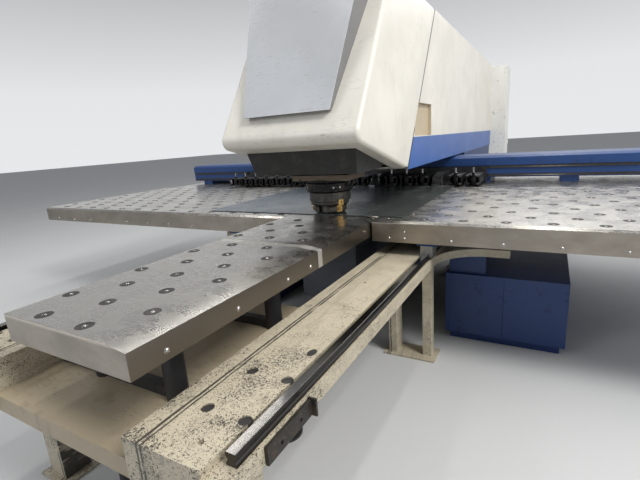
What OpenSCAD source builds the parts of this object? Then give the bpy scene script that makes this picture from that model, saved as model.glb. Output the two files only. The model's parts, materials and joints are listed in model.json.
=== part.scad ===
// Punch press for sheet metal: a C-frame with one punching head over one die,
// a table that carries the sheet under the head, and a row of tool cassettes.
// All heights are above the floor or, where it says so, above the table top.

/* [Side tables] */
// Height of the table top above the floor
table_h = 950; // [900:5:1000]
// Reach of each side table from the tool axis
table_reach = 3400; // [3100:10:3600]
// Inner edge of the left table, from the tool axis
left_inner = 265; // [262:1:300]
// Inner edge of the right table, from the tool axis
right_inner = 420; // [417:1:445]
// Front edge of the side tables, in front of the tool axis
table_front = 240; // [200:5:300]
// Where the decks step down behind the tool axis
deck_step_y = 1400; // [1360:5:1410]
// How far the deck steps down
deck_step = 12; // [11:0.5:14]
// Height of the side tables' skirts
skirt_h = 135; // [115:1:145]
// Thickness of the decks, with their roller seats
deck_t = 20; // [14:1:22]
// Thickness of the skirts
skirt_t = 8; // [5:1:12]
// Width of the bevel along the front edge of the decks
bevel_w = 20; // [10:1:30]
// Drop of that bevel
bevel_drop = 13; // [6:1:16]
// Diameter of the screws in the skirts
screw_d = 17; // [12:1:20]
// Spacing of the skirt screws
screw_pitch = 284; // [220:4:320]
// Height of the skirt screws below the table top
screw_drop = 107; // [80:1:112]

/* [Ball rollers] */
// Diameter of a roller seat
roller_d = 60; // [40:1:70]
// Diameter of the ball
ball_d = 26; // [16:1:30]
// How far the balls stand above the table
ball_proud = 3; // [2:0.5:4]
// Spacing of the rollers across the table
roller_pitch_x = 235; // [200:5:280]
// Spacing of the roller rows
roller_pitch_y = 160; // [120:5:200]

/* [Centre strip] */
// Front end of the fixed strip, in front of the tool axis
strip_front = 2000; // [1900:5:2040]
// Seam between the fixed strip and the parts flap, in front of the tool axis
seam_y = 930; // [880:5:980]
// Left edge of the strip, from the tool axis
strip_left = 256; // [250:1:258]
// Right edge of the strip, from the tool axis
strip_right = 410; // [400:1:413]
// Height of the strip's skirts
strip_skirt_h = 106; // [90:1:120]
// Width of the bevel along its right side
strip_bevel_w = 96; // [60:1:110]
// Drop of that bevel
strip_bevel_drop = 15; // [6:1:18]
// Width of the bevel at the front of the flap
flap_bevel_w = 45; // [25:1:60]
// Gap at the seam
seam_gap = 8; // [7:1:12]
// Diameter of the flap's hinge rod
hinge_d = 16; // [12:1:20]

/* [Rail beams] */
// Front end of the beams, in front of the tool axis
beam_front = 2070; // [2050:5:2150]
// Rear end of the beams, behind the tool axis
beam_back = 2250; // [2150:5:2350]
// Top of the beams below the table top
beam_drop = 220; // [205:1:240]
// Inner side of a beam from the tool axis
beam_inner = 430; // [425:1:450]
// Edge of the beam's raised top plate
ledge_x = 722; // [700:1:724]
// Outer side of a beam
beam_outer = 790; // [782:1:800]
// Step from the top plate down to the rail's ledge
ledge_drop = 25; // [15:1:30]
// Depth of a beam
beam_depth = 200; // [150:5:240]
// Height of the outer band of a beam
band_h = 62; // [45:1:75]
// Thickness of the beam's plates
beam_wall = 15; // [10:1:20]
// Width of a profile rail
rail_w = 34; // [28:1:38]
// Height of a profile rail
rail_h = 40; // [34:1:44]
// Middle of a profile rail from the tool axis
rail_x = 762; // [756:1:766]
// Front end of the rails, in front of the tool axis
rail_front = 2005; // [1980:5:2040]
// Width of a beam leg
leg_w = 60; // [50:2:80]

/* [Crossbeam] */
// Front face of the crossbeam behind the tool axis
cross_front = 1950; // [1940:2:1970]
// Depth of the crossbeam
cross_depth = 450; // [380:5:480]
// Underside of the crossbeam above the table top
cross_under_h = 35; // [25:1:45]
// Top of the crossbeam above the table top
cross_top_h = 256; // [240:1:258]
// Height of the blue cover on the crossbeam
cross_cover_h = 92; // [70:1:110]

/* [Tool magazine and clamps] */
// Left end of the slide bar, from the tool axis
slide_left = 2360; // [2300:10:2400]
// Number of stations on the slide bar
stations = 19; // [17:1:20]
// Spacing of the stations
station_pitch = 168; // [160:1:172]
// Front of the cassettes behind the tool axis
cassette_y = 1520; // [1512:1:1540]
// Width of a cassette
cassette_w = 132; // [110:1:140]
// Width of a clamp
clamp_w = 100; // [80:2:110]
// Front of the clamps behind the tool axis
clamp_y = 1430; // [1420:1:1440]
// Underside of cassettes and clamps above the table top
slide_under_h = -6; // [-7:0.5:-4]

/* [Workpiece sheet] */
// Left edge of the sheet, from the tool axis
sheet_left = 1100; // [900:10:1200]
// Right edge of the sheet, from the tool axis
sheet_right = 594; // [560:2:640]
// Front edge of the sheet, in front of the tool axis
sheet_front = 120; // [90:2:140]
// Rear edge of the sheet behind the tool axis
sheet_back = 1500; // [1480:1:1505]
// Thickness of the sheet
sheet_t = 1.5; // [1:0.1:2.5]

/* [Head cover] */
// Half of the cover's width
head_half = 492; // [480:1:520]
// Front bottom edge, in front of the tool axis
nose_y = 580; // [560:5:600]
// Height of that edge above the table top
nose_h = 510; // [495:1:530]
// Radius of the nose
nose_r = 60; // [40:1:70]
// Radius of the cover's other edges
edge_r = 25; // [15:1:30]
// Front edge of the top, behind the tool axis
head_top_front = 60; // [30:5:100]
// Rear edge of the top, behind the tool axis
head_top_back = 1130; // [1080:5:1180]
// Height of the top above the table top
top_h = 1517; // [1480:1:1560]
// Rear bottom corner behind the tool axis
head_back = 320; // [300:2:340]
// Height of that corner above the table top
head_back_h = 276; // [272:1:285]
// Thickness of the cover
cover_t = 4; // [3:0.5:8]

/* [Raised panel] */
// Height of its bottom edge above the table top
panel_h = 683; // [650:1:720]
// Half of its width at the bottom
panel_half = 305; // [280:1:330]
// Half of its width at the top
panel_half_top = 405; // [380:1:440]
// How far it stands out at the bottom
panel_out = 47; // [30:1:60]
// How far it stands out at the top
panel_out_top = 243; // [200:1:260]
// Thickness of its face plate
panel_t = 10; // [6:1:16]

/* [Black skirt] */
// Underside of the skirt above the table top
skirt_under_h = 309; // [300:1:320]
// Its front at the bottom, in front of the tool axis
skirt_front = 350; // [320:2:370]
// Its front at the top, in front of the tool axis
skirt_front_top = 400; // [380:2:420]
// Half of its width at the bottom
skirt_half = 384; // [360:1:400]
// Half of its width at the top
skirt_half_top = 405; // [385:1:430]
// Thickness of its walls
skirt_wall = 6; // [4:1:10]

/* [Punching head] */
// Half of the flange plate's width
flange_half = 220; // [200:2:240]
// Half of the flange plate's depth
flange_half_y = 150; // [150:2:170]
// Underside of the flange plate above the table top
flange_h = 246; // [240:1:252]
// Thickness of the flange plate
flange_t = 39; // [30:1:45]
// Radius of the index housing
index_r = 170; // [160:1:180]
// Underside of the index housing above the table top
index_h = 166; // [160:1:172]
// Largest radius of the tool holder
holder_r = 150; // [140:1:158]
// Radius of the tool holder at the bottom
holder_foot_r = 120; // [110:1:130]
// Underside of the tool holder above the table top
holder_h = 14; // [12:1:18]
// Radius of the bearing neck of the tool holder
neck_r = 100; // [90:1:110]
// Radius of the ram
ram_r = 42; // [36:1:48]
// Radius of the stripper
stripper_r = 50; // [44:1:56]
// Diameter of the punch's point
punch_d = 30; // [20:1:36]
// Height of the punch's point above the table top
punch_h = 10; // [8.5:0.5:11]
// Running clearance of turning and sliding pieces
run_gap = 0.05; // [0.02:0.01:0.09]

/* [Die] */
// Outer radius of the die adapter ring
adapter_r = 86; // [80:1:90]
// Radius of the turning die holder
die_holder_r = 60; // [54:1:66]
// Outer radius of the die
die_r = 38; // [32:1:42]
// Height of the die above the table top
die_proud = 1; // [0:0.5:1.5]
// Clearance round the punch in the die and in the sheet
die_gap = 0.6; // [0.4:0.1:1]
// Radius of the slug bore under the die
slug_r = 55; // [50:1:58]

/* [C-frame and arm] */
// Half of the web's width
web_half = 160; // [140:5:180]
// Half of the lower arm's width
lower_half = 230; // [210:2:240]
// Underside of the arm above the table top
arm_under_h = 272; // [268:1:275]
// Rear end of the arm behind the tool axis
arm_back = 4840; // [4700:10:5000]
// Front of the yoke behind the tool axis
yoke_y = 2600; // [2560:5:2700]
// Top of the lower arm below the table top
lower_drop = 70; // [60:1:80]
// Height of the lower arm's underside above the floor
lower_under = 120; // [100:5:150]
// Thickness of the frame's flanges
flange_plate_t = 30; // [20:1:40]
// Height of the blue band's top above the table top
arm_band_h = 500; // [480:1:530]
// Thickness of the blue band
arm_band_t = 3; // [2:0.5:4]
// Front of the side recess behind the tool axis
recess_y = 510; // [500:5:540]
// Rear of the side recess behind the tool axis
recess_back = 1000; // [950:5:1050]
// Bottom of the recess above the table top
recess_h = 506; // [504:1:535]
// Top of the recess above the table top
recess_top_h = 755; // [720:1:790]
// Depth of the recess
recess_depth = 26; // [15:1:40]

/* [Bases and cabinet] */
// Inner side of the side bases from the tool axis
base_inner = 800; // [795:1:830]
// Outer side of the side bases
base_outer = 1560; // [1400:10:1700]
// Height of the side bases
base_h = 505; // [480:1:530]
// Front of the side bases behind the tool axis
base_front = 170; // [150:5:200]
// Rear of the side bases
base_back = 2300; // [2200:10:2400]
// Half of the rear base's width
rear_base_half = 478; // [460:1:483]
// Half of the cabinet's width
cabinet_half = 720; // [700:5:760]
// Depth of the cabinet
cabinet_depth = 480; // [420:5:540]
// Height of the cabinet above the table top
cabinet_top_h = 1496; // [1450:1:1510]
// Thickness of the cabinet's folded walls
cabinet_wall = 25; // [20:1:30]
// Thickness of the cabinet's doors
door_t = 22; // [18:1:28]
// Height of the plinth
plinth_h = 100; // [80:5:120]

/* [Hidden] */
$fn = 64;
hull_fn = 32;
seat = 0.3;
big = 9000;

// The whole machine is set round the middle of its footprint
cabinet_front = arm_back + seat;
handle_t = 6;
cabinet_back = cabinet_front + cabinet_depth + door_t + handle_t;
mid_y = (cabinet_back - beam_front) / 2;

// Heights above the floor
deck_under = table_h - deck_t;
step_top = table_h - deck_step;
skirt_bottom = table_h - skirt_h;
strip_bottom = table_h - strip_skirt_h;
top_z = table_h + top_h;
arm_under = table_h + arm_under_h;
beam_top = table_h - beam_drop;
ledge_z = beam_top - ledge_drop;
rail_top = ledge_z + rail_h;
cross_under = table_h + cross_under_h;
cross_top = table_h + cross_top_h;
cross_back = cross_front + cross_depth;
slide_under = table_h + slide_under_h;
sheet_under = table_h + ball_proud + seat;
sheet_top = sheet_under + sheet_t;
lower_top = table_h - lower_drop;

// Inside of the covers
arm_half = head_half - cover_t - seat;
arm_top = top_z - cover_t - seat;
frame_half = arm_half - cover_t - seat;
frame_top = arm_top - cover_t - seat;
nose_under = arm_under + 68;
throat_r = 120;
nose_front = -150;
nose_half = skirt_half - skirt_wall - 8;
frame_end = arm_back - 140;
lower_front = -100;
floor_foot = 12;

// Corners of the head cover's side, as Y and Z, with the radius at each
head_corners = [
    [-nose_y, table_h + nose_h],
    [head_top_front, top_z],
    [head_top_back, top_z],
    [head_back, table_h + head_back_h]
];
head_radii = [nose_r, edge_r, edge_r, edge_r];

function unit(v) = v / norm(v);
function between(a, b, t) = a + (b - a) * t;
// Y on the line from a to b at height z, and Z on it at distance y
function y_at(a, b, z) = between(a, b, (z - a[1]) / (b[1] - a[1]))[0];
function z_at(a, b, y) = between(a, b, (y - a[0]) / (b[0] - a[0]))[1];
// Middle of the arc of radius r that rounds corner b between a and c
function arc_middle(a, b, c, r) =
    let (u = unit(a - b), v = unit(c - b), half = acos(u * v) / 2)
    b + unit(u + v) * r / sin(half);

function front_face_y(z) = y_at(head_corners[0], head_corners[1], z);
function rear_edge_y(z) = y_at(head_corners[3], head_corners[2], z);
function cover_under_z(y) = z_at(head_corners[0], head_corners[3], y);

// Places the tool axis in the machine's frame
module at_tool() {
    translate([0, -mid_y, 0]) children();
}

// A side profile drawn as Y and Z, given a width from x0 to x1
module side_slab(x0, x1) {
    translate([x0, 0, 0]) rotate([90, 0, 90]) linear_extrude(x1 - x0) children();
}

// A section drawn as X and Z, run from y0 to y1
module run_y(y0, y1) {
    translate([0, y1, 0]) rotate([90, 0, 0]) linear_extrude(y1 - y0) children();
}

// A box between two corners
module block(a, b) {
    translate(a) cube(b - a);
}

module both_sides() {
    children();
    mirror([1, 0, 0]) children();
}

// C-frame

module c_profile() {
    difference() {
        polygon([
            [lower_front, lower_under + 180], [0, lower_under], [frame_end, lower_under],
            [frame_end, frame_top], [250, frame_top], [nose_front, frame_top - 760],
            [nose_front, nose_under], [lower_front, nose_under]
        ]);
        throat();
    }
}

// The gap that the sheet and the crossbeam move in, with round inner corners
module throat() {
    r = throat_r;
    z0 = lower_top;
    z1 = nose_under;
    translate([-200, z0]) square([yoke_y + 200 - r, z1 - z0]);
    translate([-200, z0 + r]) square([yoke_y + 200, z1 - z0 - 2 * r]);
    for (z = [z0 + r, z1 - r]) {
        translate([yoke_y - r, z]) circle(r);
    }
}

module c_frame() {
    floor_top = nose_under + flange_plate_t;
    rebate = frame_half - edge_clear;
    color("#3a3f4a") at_tool() {
        difference() {
            union() {
                side_slab(-web_half, web_half) c_profile();
                block([-lower_half, lower_front, lower_under + 180], [lower_half, yoke_y, lower_top]);
                block([-nose_half, nose_front, nose_under], [nose_half, nose_floor_y, floor_top]);
                block([-frame_half, nose_floor_y, nose_under], [frame_half, frame_end, floor_top]);
                block([-frame_half, 250, frame_top - flange_plate_t], [frame_half, frame_end, frame_top]);
                for (y = [300 : 860 : arm_back - 200]) {
                    block([-frame_half, y, nose_under], [frame_half, y + 20, frame_top]);
                }
                for (y = [yoke_y + 120, frame_end - 30]) {
                    block([-rear_inner_half, y, base_plate_t], [rear_inner_half, y + 30, nose_under]);
                }
                // Outriggers that carry the rail beams
                for (y = outrigger_y) {
                    block([-beam_inner, y, beam_top - 150], [beam_inner, y + 100, beam_top - 50]);
                }
            }
            // Rebates that clear the round top edges of the head cover
            both_sides() {
                block([rebate, 0, frame_top - edge_clear], [frame_half + 1, rear_edge_y(arm_top), frame_top + 1]);
            }
            translate([0, 0, lower_under]) cylinder(r = slug_r, h = lower_top - lower_under + 1);
            translate([0, 0, nose_under - 1]) cylinder(r = ram_r + 20, h = 200);
        }
    }
}

outrigger_y = [300, 1700];
// Behind this the cover's underside lies below the frame's nose
nose_floor_y = y_at(head_corners[0], head_corners[3], nose_under - edge_r);
edge_clear = edge_r / 2;

anchor_x = 520;
anchor_y = 850;
anchor_r = 14;
base_plate_t = 40;
plate_y = (yoke_y + arm_back) / 2;

module base_plate() {
    color("#2b2f36") at_tool() difference() {
        block([-anchor_x - 40, yoke_y + 50, 0], [anchor_x + 40, arm_back - 50, base_plate_t]);
        for (x = [-anchor_x, anchor_x], y = [plate_y - anchor_y, plate_y + anchor_y]) {
            translate([x, y, -1]) cylinder(r = anchor_r, h = base_plate_t + 2);
        }
    }
}

foot_plate_t = 30;

module front_foot() {
    color("#2b2f36") at_tool() {
        block([-200, 60, 0], [200, 460, foot_plate_t]);
        block([-150, 110, foot_plate_t], [150, 410, lower_under]);
    }
}

rear_base_wall = 6;
rear_inner_half = rear_base_half - rear_base_wall - seat;

module rear_base() {
    wall = rear_base_wall;
    z0 = base_plate_t + 2;
    color("#1b3f96") at_tool() difference() {
        block([-rear_base_half, yoke_y + 5, z0], [rear_base_half, arm_back, arm_under - seat]);
        block([-rear_base_half + wall, yoke_y + 5 + wall, z0 - 1],
              [rear_base_half - wall, arm_back - wall, arm_under]);
        block([-lower_half - 2, yoke_y, z0 - 1], [lower_half + 2, yoke_y + 2 * wall, arm_under]);
    }
}

// Arm covers

module arm_profile(inset) {
    front = 40;
    polygon([
        [rear_edge_y(arm_under) - front, arm_under + inset],
        [arm_back - inset, arm_under + inset],
        [arm_back - inset, arm_top - inset],
        [rear_edge_y(arm_top) - front, arm_top - inset]
    ]);
}

module arm_cover() {
    color("#e9e6dc") at_tool() difference() {
        side_slab(-arm_half, arm_half) arm_profile(0);
        side_slab(-arm_half + cover_t, arm_half - cover_t) union() {
            arm_profile(cover_t);
            translate([-60, 0]) arm_profile(cover_t);
        }
        // Openings in the floor over the punching head and over the rear base, and the recess's window
        z0 = arm_under - 1;
        z1 = arm_under + cover_t + 1;
        block([-frame_half, 0, z0], [frame_half, 400, z1]);
        block([-rear_base_half, yoke_y - 20, z0], [rear_base_half, arm_back - 20, z1]);
        block([arm_half - cover_t - 1, recess_y, table_h + recess_h],
              [arm_half + 1, recess_back, table_h + recess_top_h]);
    }
}

module recess_panel() {
    back = arm_half - cover_t;
    color("#c9bda6") at_tool() difference() {
        block([back - recess_depth, recess_y - 15, table_h + recess_h - 15],
              [back, recess_back + 15, table_h + recess_top_h + 15]);
        block([back - recess_depth + 3, recess_y, table_h + recess_h],
              [back + 1, recess_back, table_h + recess_top_h]);
    }
}

module arm_band() {
    z0 = arm_under;
    z1 = table_h + arm_band_h;
    color("#3f5fae") at_tool() side_slab(arm_half, arm_half + arm_band_t) polygon([
        [rear_edge_y(z0) + 6, z0],
        [arm_back - 4, z0],
        [arm_back - 4, z1],
        [rear_edge_y(z1) + 6, z1]
    ]);
}

module arm_bands() { both_sides() arm_band(); }

// Head cover

// A disc whose rim is rounded by radius tube, lying along X
module rim_disc(r, tube) {
    rotate([0, 90, 0]) rotate_extrude($fn = hull_fn) {
        translate([max(r - edge_r, 0.01), 0]) intersection() {
            circle(tube, $fn = hull_fn);
            translate([0, -tube]) square([tube, 2 * tube]);
        }
    }
}

// The cover's form with all its faces moved in by inset; slid is added to the rear corners
module head_form(inset, slid) {
    n = len(head_corners);
    hull() {
        for (i = [0 : n - 1], side = [-1, 1]) {
            a = head_corners[(i + n - 1) % n];
            c = head_corners[(i + 1) % n];
            m = arc_middle(a, head_corners[i], c, head_radii[i]);
            y = m[0] + (i > 1 ? slid : 0);
            translate([side * (head_half - edge_r), y, m[1]]) rim_disc(head_radii[i], edge_r - inset);
        }
    }
}

module head_cover() {
    color("#e9e6dc") at_tool() difference() {
        head_form(0, 0);
        head_form(cover_t, 0);
        // The rear is open for the arm
        side_slab(-arm_half - seat, arm_half + seat) polygon([
            [rear_edge_y(arm_under) - 65, arm_under - 20],
            [rear_edge_y(arm_under) + 400, arm_under - 20],
            [rear_edge_y(top_z) + 400, arm_top + seat],
            [rear_edge_y(top_z) - 60, arm_top + seat]
        ]);
        // The underside is open over the skirt and the head
        block([-skirt_half_top + 20, -skirt_front_top + 30, table_h],
              [skirt_half_top - 20, 250, nose_under + 100]);
    }
}

panel_bottom = [front_face_y(table_h + panel_h), table_h + panel_h];
panel_top = [front_face_y(top_z), top_z];

// The panel's outline from the front: wider at the top
module panel_outline(inset) {
    translate([0, big / 2, 0]) rotate([90, 0, 0]) linear_extrude(big) polygon([
        [-panel_half + inset, panel_bottom[1]], [panel_half - inset, panel_bottom[1]],
        [panel_half_top - inset, top_z], [-panel_half_top + inset, top_z]
    ]);
}

module panel_wedge(out0, out1, back0, back1, inset) {
    intersection() {
        side_slab(-big / 2, big / 2) polygon([
            panel_bottom - [out0, 0], panel_top - [out1, 0],
            panel_top - [back1, 0], panel_bottom - [back0, 0]
        ]);
        panel_outline(inset);
    }
}

module panel_box() {
    color("#6c6d70") at_tool() panel_wedge(panel_out - panel_t, panel_out_top - panel_t, seat, seat, 5);
}

module head_panel() {
    color("#c4c6ca") at_tool() {
        panel_wedge(panel_out, panel_out_top, panel_out - panel_t, panel_out_top - panel_t, 0);
    }
}

// Skirt: a wedge whose top edge follows the cover's underside
module skirt_form(inset, lift) {
    z0 = table_h + skirt_under_h;
    y0 = -skirt_front_top + inset;
    intersection() {
        side_slab(-big / 2, big / 2) polygon([
            [y0, cover_under_z(y0)],
            [-skirt_front + inset, z0 + lift],
            [20 - inset, z0 + lift],
            [100 - inset, cover_under_z(100 - inset)],
            [100 - inset, cover_under_z(100 - inset) + lift],
            [y0, cover_under_z(y0) + lift]
        ]);
        translate([0, big / 2, 0]) rotate([90, 0, 0]) linear_extrude(big) polygon([
            [-skirt_half + inset, z0], [skirt_half - inset, z0],
            [skirt_half_top - inset, z0 + 160], [-skirt_half_top + inset, z0 + 160]
        ]);
    }
}

module head_skirt() {
    color("#232325") at_tool() difference() {
        skirt_form(0, 0);
        skirt_form(skirt_wall, skirt_wall);
        translate([0, 0, table_h]) cylinder(r = housing_r + 5, h = 400);
    }
}

// Punching head

housing_r = 130;

module head_housing() {
    color("#55585c") at_tool() translate([0, 0, table_h + flange_h + flange_t]) difference() {
        cylinder(r = housing_r, h = nose_under - table_h - flange_h - flange_t);
        translate([0, 0, -1]) cylinder(r = ram_r + 20, h = 200);
    }
}

module flange_plate() {
    z = table_h + flange_h;
    color("#7b6f64") at_tool() difference() {
        block([-flange_half, -flange_half_y, z], [flange_half, flange_half_y, z + flange_t]);
        translate([0, 0, z - 1]) cylinder(r = ram_r + 20, h = flange_t + 2);
        for (x = [-1, 1], y = [-1, 1]) {
            translate([x * (flange_half - 26), y * (flange_half_y - 26), z - 1]) cylinder(d = 22, h = 12);
        }
        // A shallow relief along the front edge
        block([-flange_half + 60, -flange_half_y - 1, z - 1], [flange_half - 60, -flange_half_y + 8, z + 14]);
    }
}

module index_housing() {
    z = table_h + index_h;
    h = flange_h - index_h;
    color("#2c2d30") at_tool() translate([0, 0, z]) difference() {
        rotate_extrude() polygon([
            [neck_r + run_gap, 0], [index_r - 6, 0], [index_r, 6], [index_r, h - 22],
            [index_r - 14, h - 14], [index_r - 14, h], [ram_r + 20, h],
            [ram_r + 20, h - 14], [neck_r + run_gap, h - 14]
        ]);
        // Service flats and their screw holes
        for (a = [45, 135, 225, 315]) {
            rotate(a) translate([index_r - 5, -40, 14]) cube([20, 80, 36]);
        }
    }
}

module head_screws() {
    z = table_h + flange_h;
    color("#a9abae") at_tool() {
        for (x = [-1, 1], y = [-1, 1]) {
            translate([x * (flange_half - 26), y * (flange_half_y - 26), z - 3]) cylinder(d = 20, h = 14);
        }
        for (a = [45, 135, 225, 315], s = [-24, 24]) {
            rotate(a) translate([index_r - 5, s, z - 48]) rotate([0, 90, 0]) cylinder(d = 12, h = 6);
        }
    }
}

// A hose that drops out of the flange plate and turns in to the housing
module hose(angle, drop, r) {
    bend = flange_hose_r - index_r;
    z = table_h + flange_h;
    rotate(angle) {
        translate([flange_hose_r, 0, z - drop]) cylinder(r = r, h = drop - seat);
        translate([flange_hose_r - bend, 0, z - drop]) rotate([90, 0, 0]) rotate_extrude(angle = -90) {
            translate([bend, 0]) circle(r);
        }
    }
}
flange_hose_r = index_r + 32;

module head_hoses() {
    color("#18181a") at_tool() {
        hose(-18, 8, 8);
        hose(-4, 14, 8);
        hose(12, 8, 6);
        hose(176, 12, 8);
        hose(196, 8, 6);
    }
}

module tool_holder() {
    z = table_h + holder_h;
    h = index_h - holder_h - 0.5;
    top = flange_h - holder_h - 14.5;
    color("#4a4a4c") at_tool() translate([0, 0, z]) difference() {
        rotate_extrude() polygon([
            [stripper_r + 0.1, 0], [holder_foot_r - 8, 0], [holder_foot_r, 8], [holder_foot_r, 40],
            [holder_r - 12, 64], [holder_r - 12, 78], [holder_r, 84], [holder_r, h - 8],
            [holder_r - 8, h], [neck_r, h], [neck_r, top], [ram_r + run_gap, top],
            [ram_r + run_gap, 60], [stripper_r + 0.1, 60]
        ]);
        // Three windows between the jaws
        for (a = [30, 150, 270]) {
            rotate(a) translate([holder_foot_r - 34, -34, -1]) cube([80, 68, 52]);
        }
        // Seats of the three jaws
        for (a = [90, 210, 330]) {
            rotate(a) translate([holder_foot_r - 26, -22, -1]) cube([80, 44, 96]);
        }
        for (a = [0 : 30 : 330]) {
            rotate(a + 15) translate([holder_r - 4, 0, 92]) rotate([0, 90, 0]) cylinder(d = 16, h = 10);
        }
    }
}

module holder_jaws() {
    z = table_h + holder_h;
    color("#b08a4a") at_tool() translate([0, 0, z]) for (a = [90, 210, 330]) rotate(a) difference() {
        union() {
            translate([holder_foot_r - 26, -21.7, 2]) cube([26, 43.4, 92.7]);
            translate([holder_foot_r - 1, -21.7, 52]) cube([24, 43.4, 42.7]);
            translate([holder_foot_r - 2, 0, 24]) rotate([0, 90, 0]) cylinder(d = 26, h = 14);
        }
        translate([holder_foot_r, 0, 24]) rotate([0, 90, 0]) cylinder(d = 11, h = 14, $fn = 6);
        translate([holder_foot_r + 18, 0, 74]) rotate([0, 90, 0]) cylinder(d = 14, h = 8);
    }
}

module stripper() {
    z = table_h + holder_h;
    color("#8d9094") at_tool() translate([0, 0, z]) rotate_extrude() polygon([
        [punch_d / 2 + 0.3, -2], [stripper_r - 14, -2], [stripper_r - 8, 0], [stripper_r, 0],
        [stripper_r, 16], [punch_d / 2 + 0.3, 16]
    ]);
}

module ram() {
    color("#9a9da1") at_tool() translate([0, 0, table_h + holder_h + 62]) {
        cylinder(r = ram_r, h = 250);
    }
}

module punch() {
    z = table_h + punch_h;
    color("#c2b27a") at_tool() translate([0, 0, z]) rotate_extrude() polygon([
        [0, 0], [punch_d / 2, 0], [punch_d / 2, 46], [ram_r - 6, 54],
        [ram_r - 6, holder_h + 62 - punch_h], [0, holder_h + 62 - punch_h]
    ]);
}

// Die

module die_adapter() {
    color("#6f7276") at_tool() translate([0, 0, lower_top]) difference() {
        cylinder(r = adapter_r, h = lower_drop);
        translate([0, 0, -1]) cylinder(r = die_holder_r - 8, h = lower_drop + 2);
        translate([0, 0, 30]) cylinder(r = die_holder_r + run_gap, h = lower_drop);
        for (a = [0 : 60 : 300]) {
            rotate(a) translate([(adapter_r + die_holder_r) / 2, 0, lower_drop - 7]) cylinder(d = 10, h = 8);
        }
    }
}

module die_holder() {
    color("#4b4d50") at_tool() translate([0, 0, lower_top + 30]) rotate_extrude() polygon([
        [die_r - 8, 0], [die_holder_r, 0], [die_holder_r, lower_drop - 32],
        [die_holder_r - 2, lower_drop - 30], [die_r + 0.1, lower_drop - 30],
        [die_r + 0.1, lower_drop - 54], [die_r - 8, lower_drop - 54]
    ]);
}

module die() {
    color("#b9b9b4") at_tool() translate([0, 0, table_h - 24]) rotate_extrude() polygon([
        [punch_d / 2 + 3, 0], [die_r, 0], [die_r, 23 + die_proud], [die_r - 1, 24 + die_proud],
        [punch_d / 2 + die_gap, 24 + die_proud], [punch_d / 2 + die_gap, 16 + die_proud]
    ]);
}

// Rail beams

module beam_section() {
    groove = 3;
    difference() {
        polygon([
            [beam_inner, beam_top], [beam_inner + 63, beam_top], [beam_inner + 63, beam_top - groove],
            [beam_inner + 66, beam_top - groove], [beam_inner + 66, beam_top],
            [beam_inner + 74, beam_top], [beam_inner + 74, beam_top - groove],
            [beam_inner + 77, beam_top - groove], [beam_inner + 77, beam_top],
            [ledge_x, beam_top], [ledge_x, ledge_z], [beam_outer, ledge_z],
            [beam_outer, ledge_z - band_h], [ledge_x - 22, ledge_z - band_h],
            [ledge_x - 22, beam_top - beam_depth], [beam_inner + 20, beam_top - beam_depth],
            [beam_inner, beam_top - beam_depth + 20]
        ]);
        translate([beam_inner + beam_wall, beam_top - beam_depth + beam_wall]) square([
            ledge_x - 22 - beam_inner - 2 * beam_wall, beam_depth - 2 * beam_wall
        ]);
    }
}

plug_r = 21;
plug_x = [beam_inner + 133, ledge_x - 18];
plug_rows = [beam_front - 190, beam_front - 400];
plug_places = [for (y = plug_rows, x = plug_x) [x, y]];
small_holes = [[beam_inner + 222, beam_front - 75], [beam_inner + 156, 759]];
oval_place = [ledge_x - 31, beam_front - 580];
oval_form = [0.8, 1.25, 1];

module rail_beam() {
    fillet = 300;
    color("#e3ddc8") at_tool() difference() {
        union() {
            run_y(-beam_front, beam_back) beam_section();
            for (y = [-beam_front, beam_back - beam_wall]) {
                block([beam_inner + 1, y, beam_top - beam_depth + 1],
                      [ledge_x - 23, y + beam_wall, beam_top - 5]);
            }
            // Gusset that curves out from the beam's band to the side base
            translate([0, 0, ledge_z - band_h]) linear_extrude(band_h - 10) difference() {
                translate([beam_outer - 1, base_front - fillet]) square([fillet + 120, fillet + 60]);
                translate([beam_outer + fillet, base_front - fillet]) circle(fillet, $fn = 96);
                translate([beam_outer + fillet, base_front - fillet - 1]) square([200, fillet]);
            }
        }
        for (p = plug_places) {
            translate([p[0], -p[1], beam_top - 12]) cylinder(r = plug_r, h = 13);
        }
        for (p = small_holes) {
            translate([p[0], -p[1], beam_top - 10]) cylinder(r = 9, h = 11);
        }
        translate([oval_place[0], -oval_place[1], beam_top - 4]) scale(oval_form) cylinder(r = plug_r, h = 5);
    }
}

module rail_beam_right() { rail_beam(); }
module rail_beam_left() { mirror([1, 0, 0]) rail_beam(); }

// Head, waist and foot of a profile rail
module rail_section() {
    w = rail_w / 2;
    translate([rail_x, ledge_z]) polygon([
        [-w, 0], [w, 0], [w, 10], [w - 5, 15], [w - 5, 23], [w, 28], [w, rail_h - 2], [w - 2, rail_h],
        [-w + 2, rail_h], [-w, rail_h - 2], [-w, 28], [-w + 5, 23], [-w + 5, 15], [-w, 10]
    ]);
}

module rail() {
    color("#a7abb0") at_tool() run_y(-rail_front, beam_back - 30) rail_section();
}

module profile_rails() { both_sides() rail(); }

module beam_plugs() {
    color("#3a3835") at_tool() both_sides() {
        for (p = plug_places) {
            intersection() {
                translate([p[0], -p[1], beam_top - 12]) cylinder(r = plug_r - 0.2, h = 7);
                block([0, -big, 0], [ledge_x - 0.5, 0, beam_top]);
            }
        }
        translate([oval_place[0], -oval_place[1], beam_top - 4]) scale(oval_form) {
            cylinder(r = plug_r - 0.3, h = 3.2);
        }
    }
}

pad_t = 12;
pad_front = -beam_front + 156;
pad_back = pad_front + 224;

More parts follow.
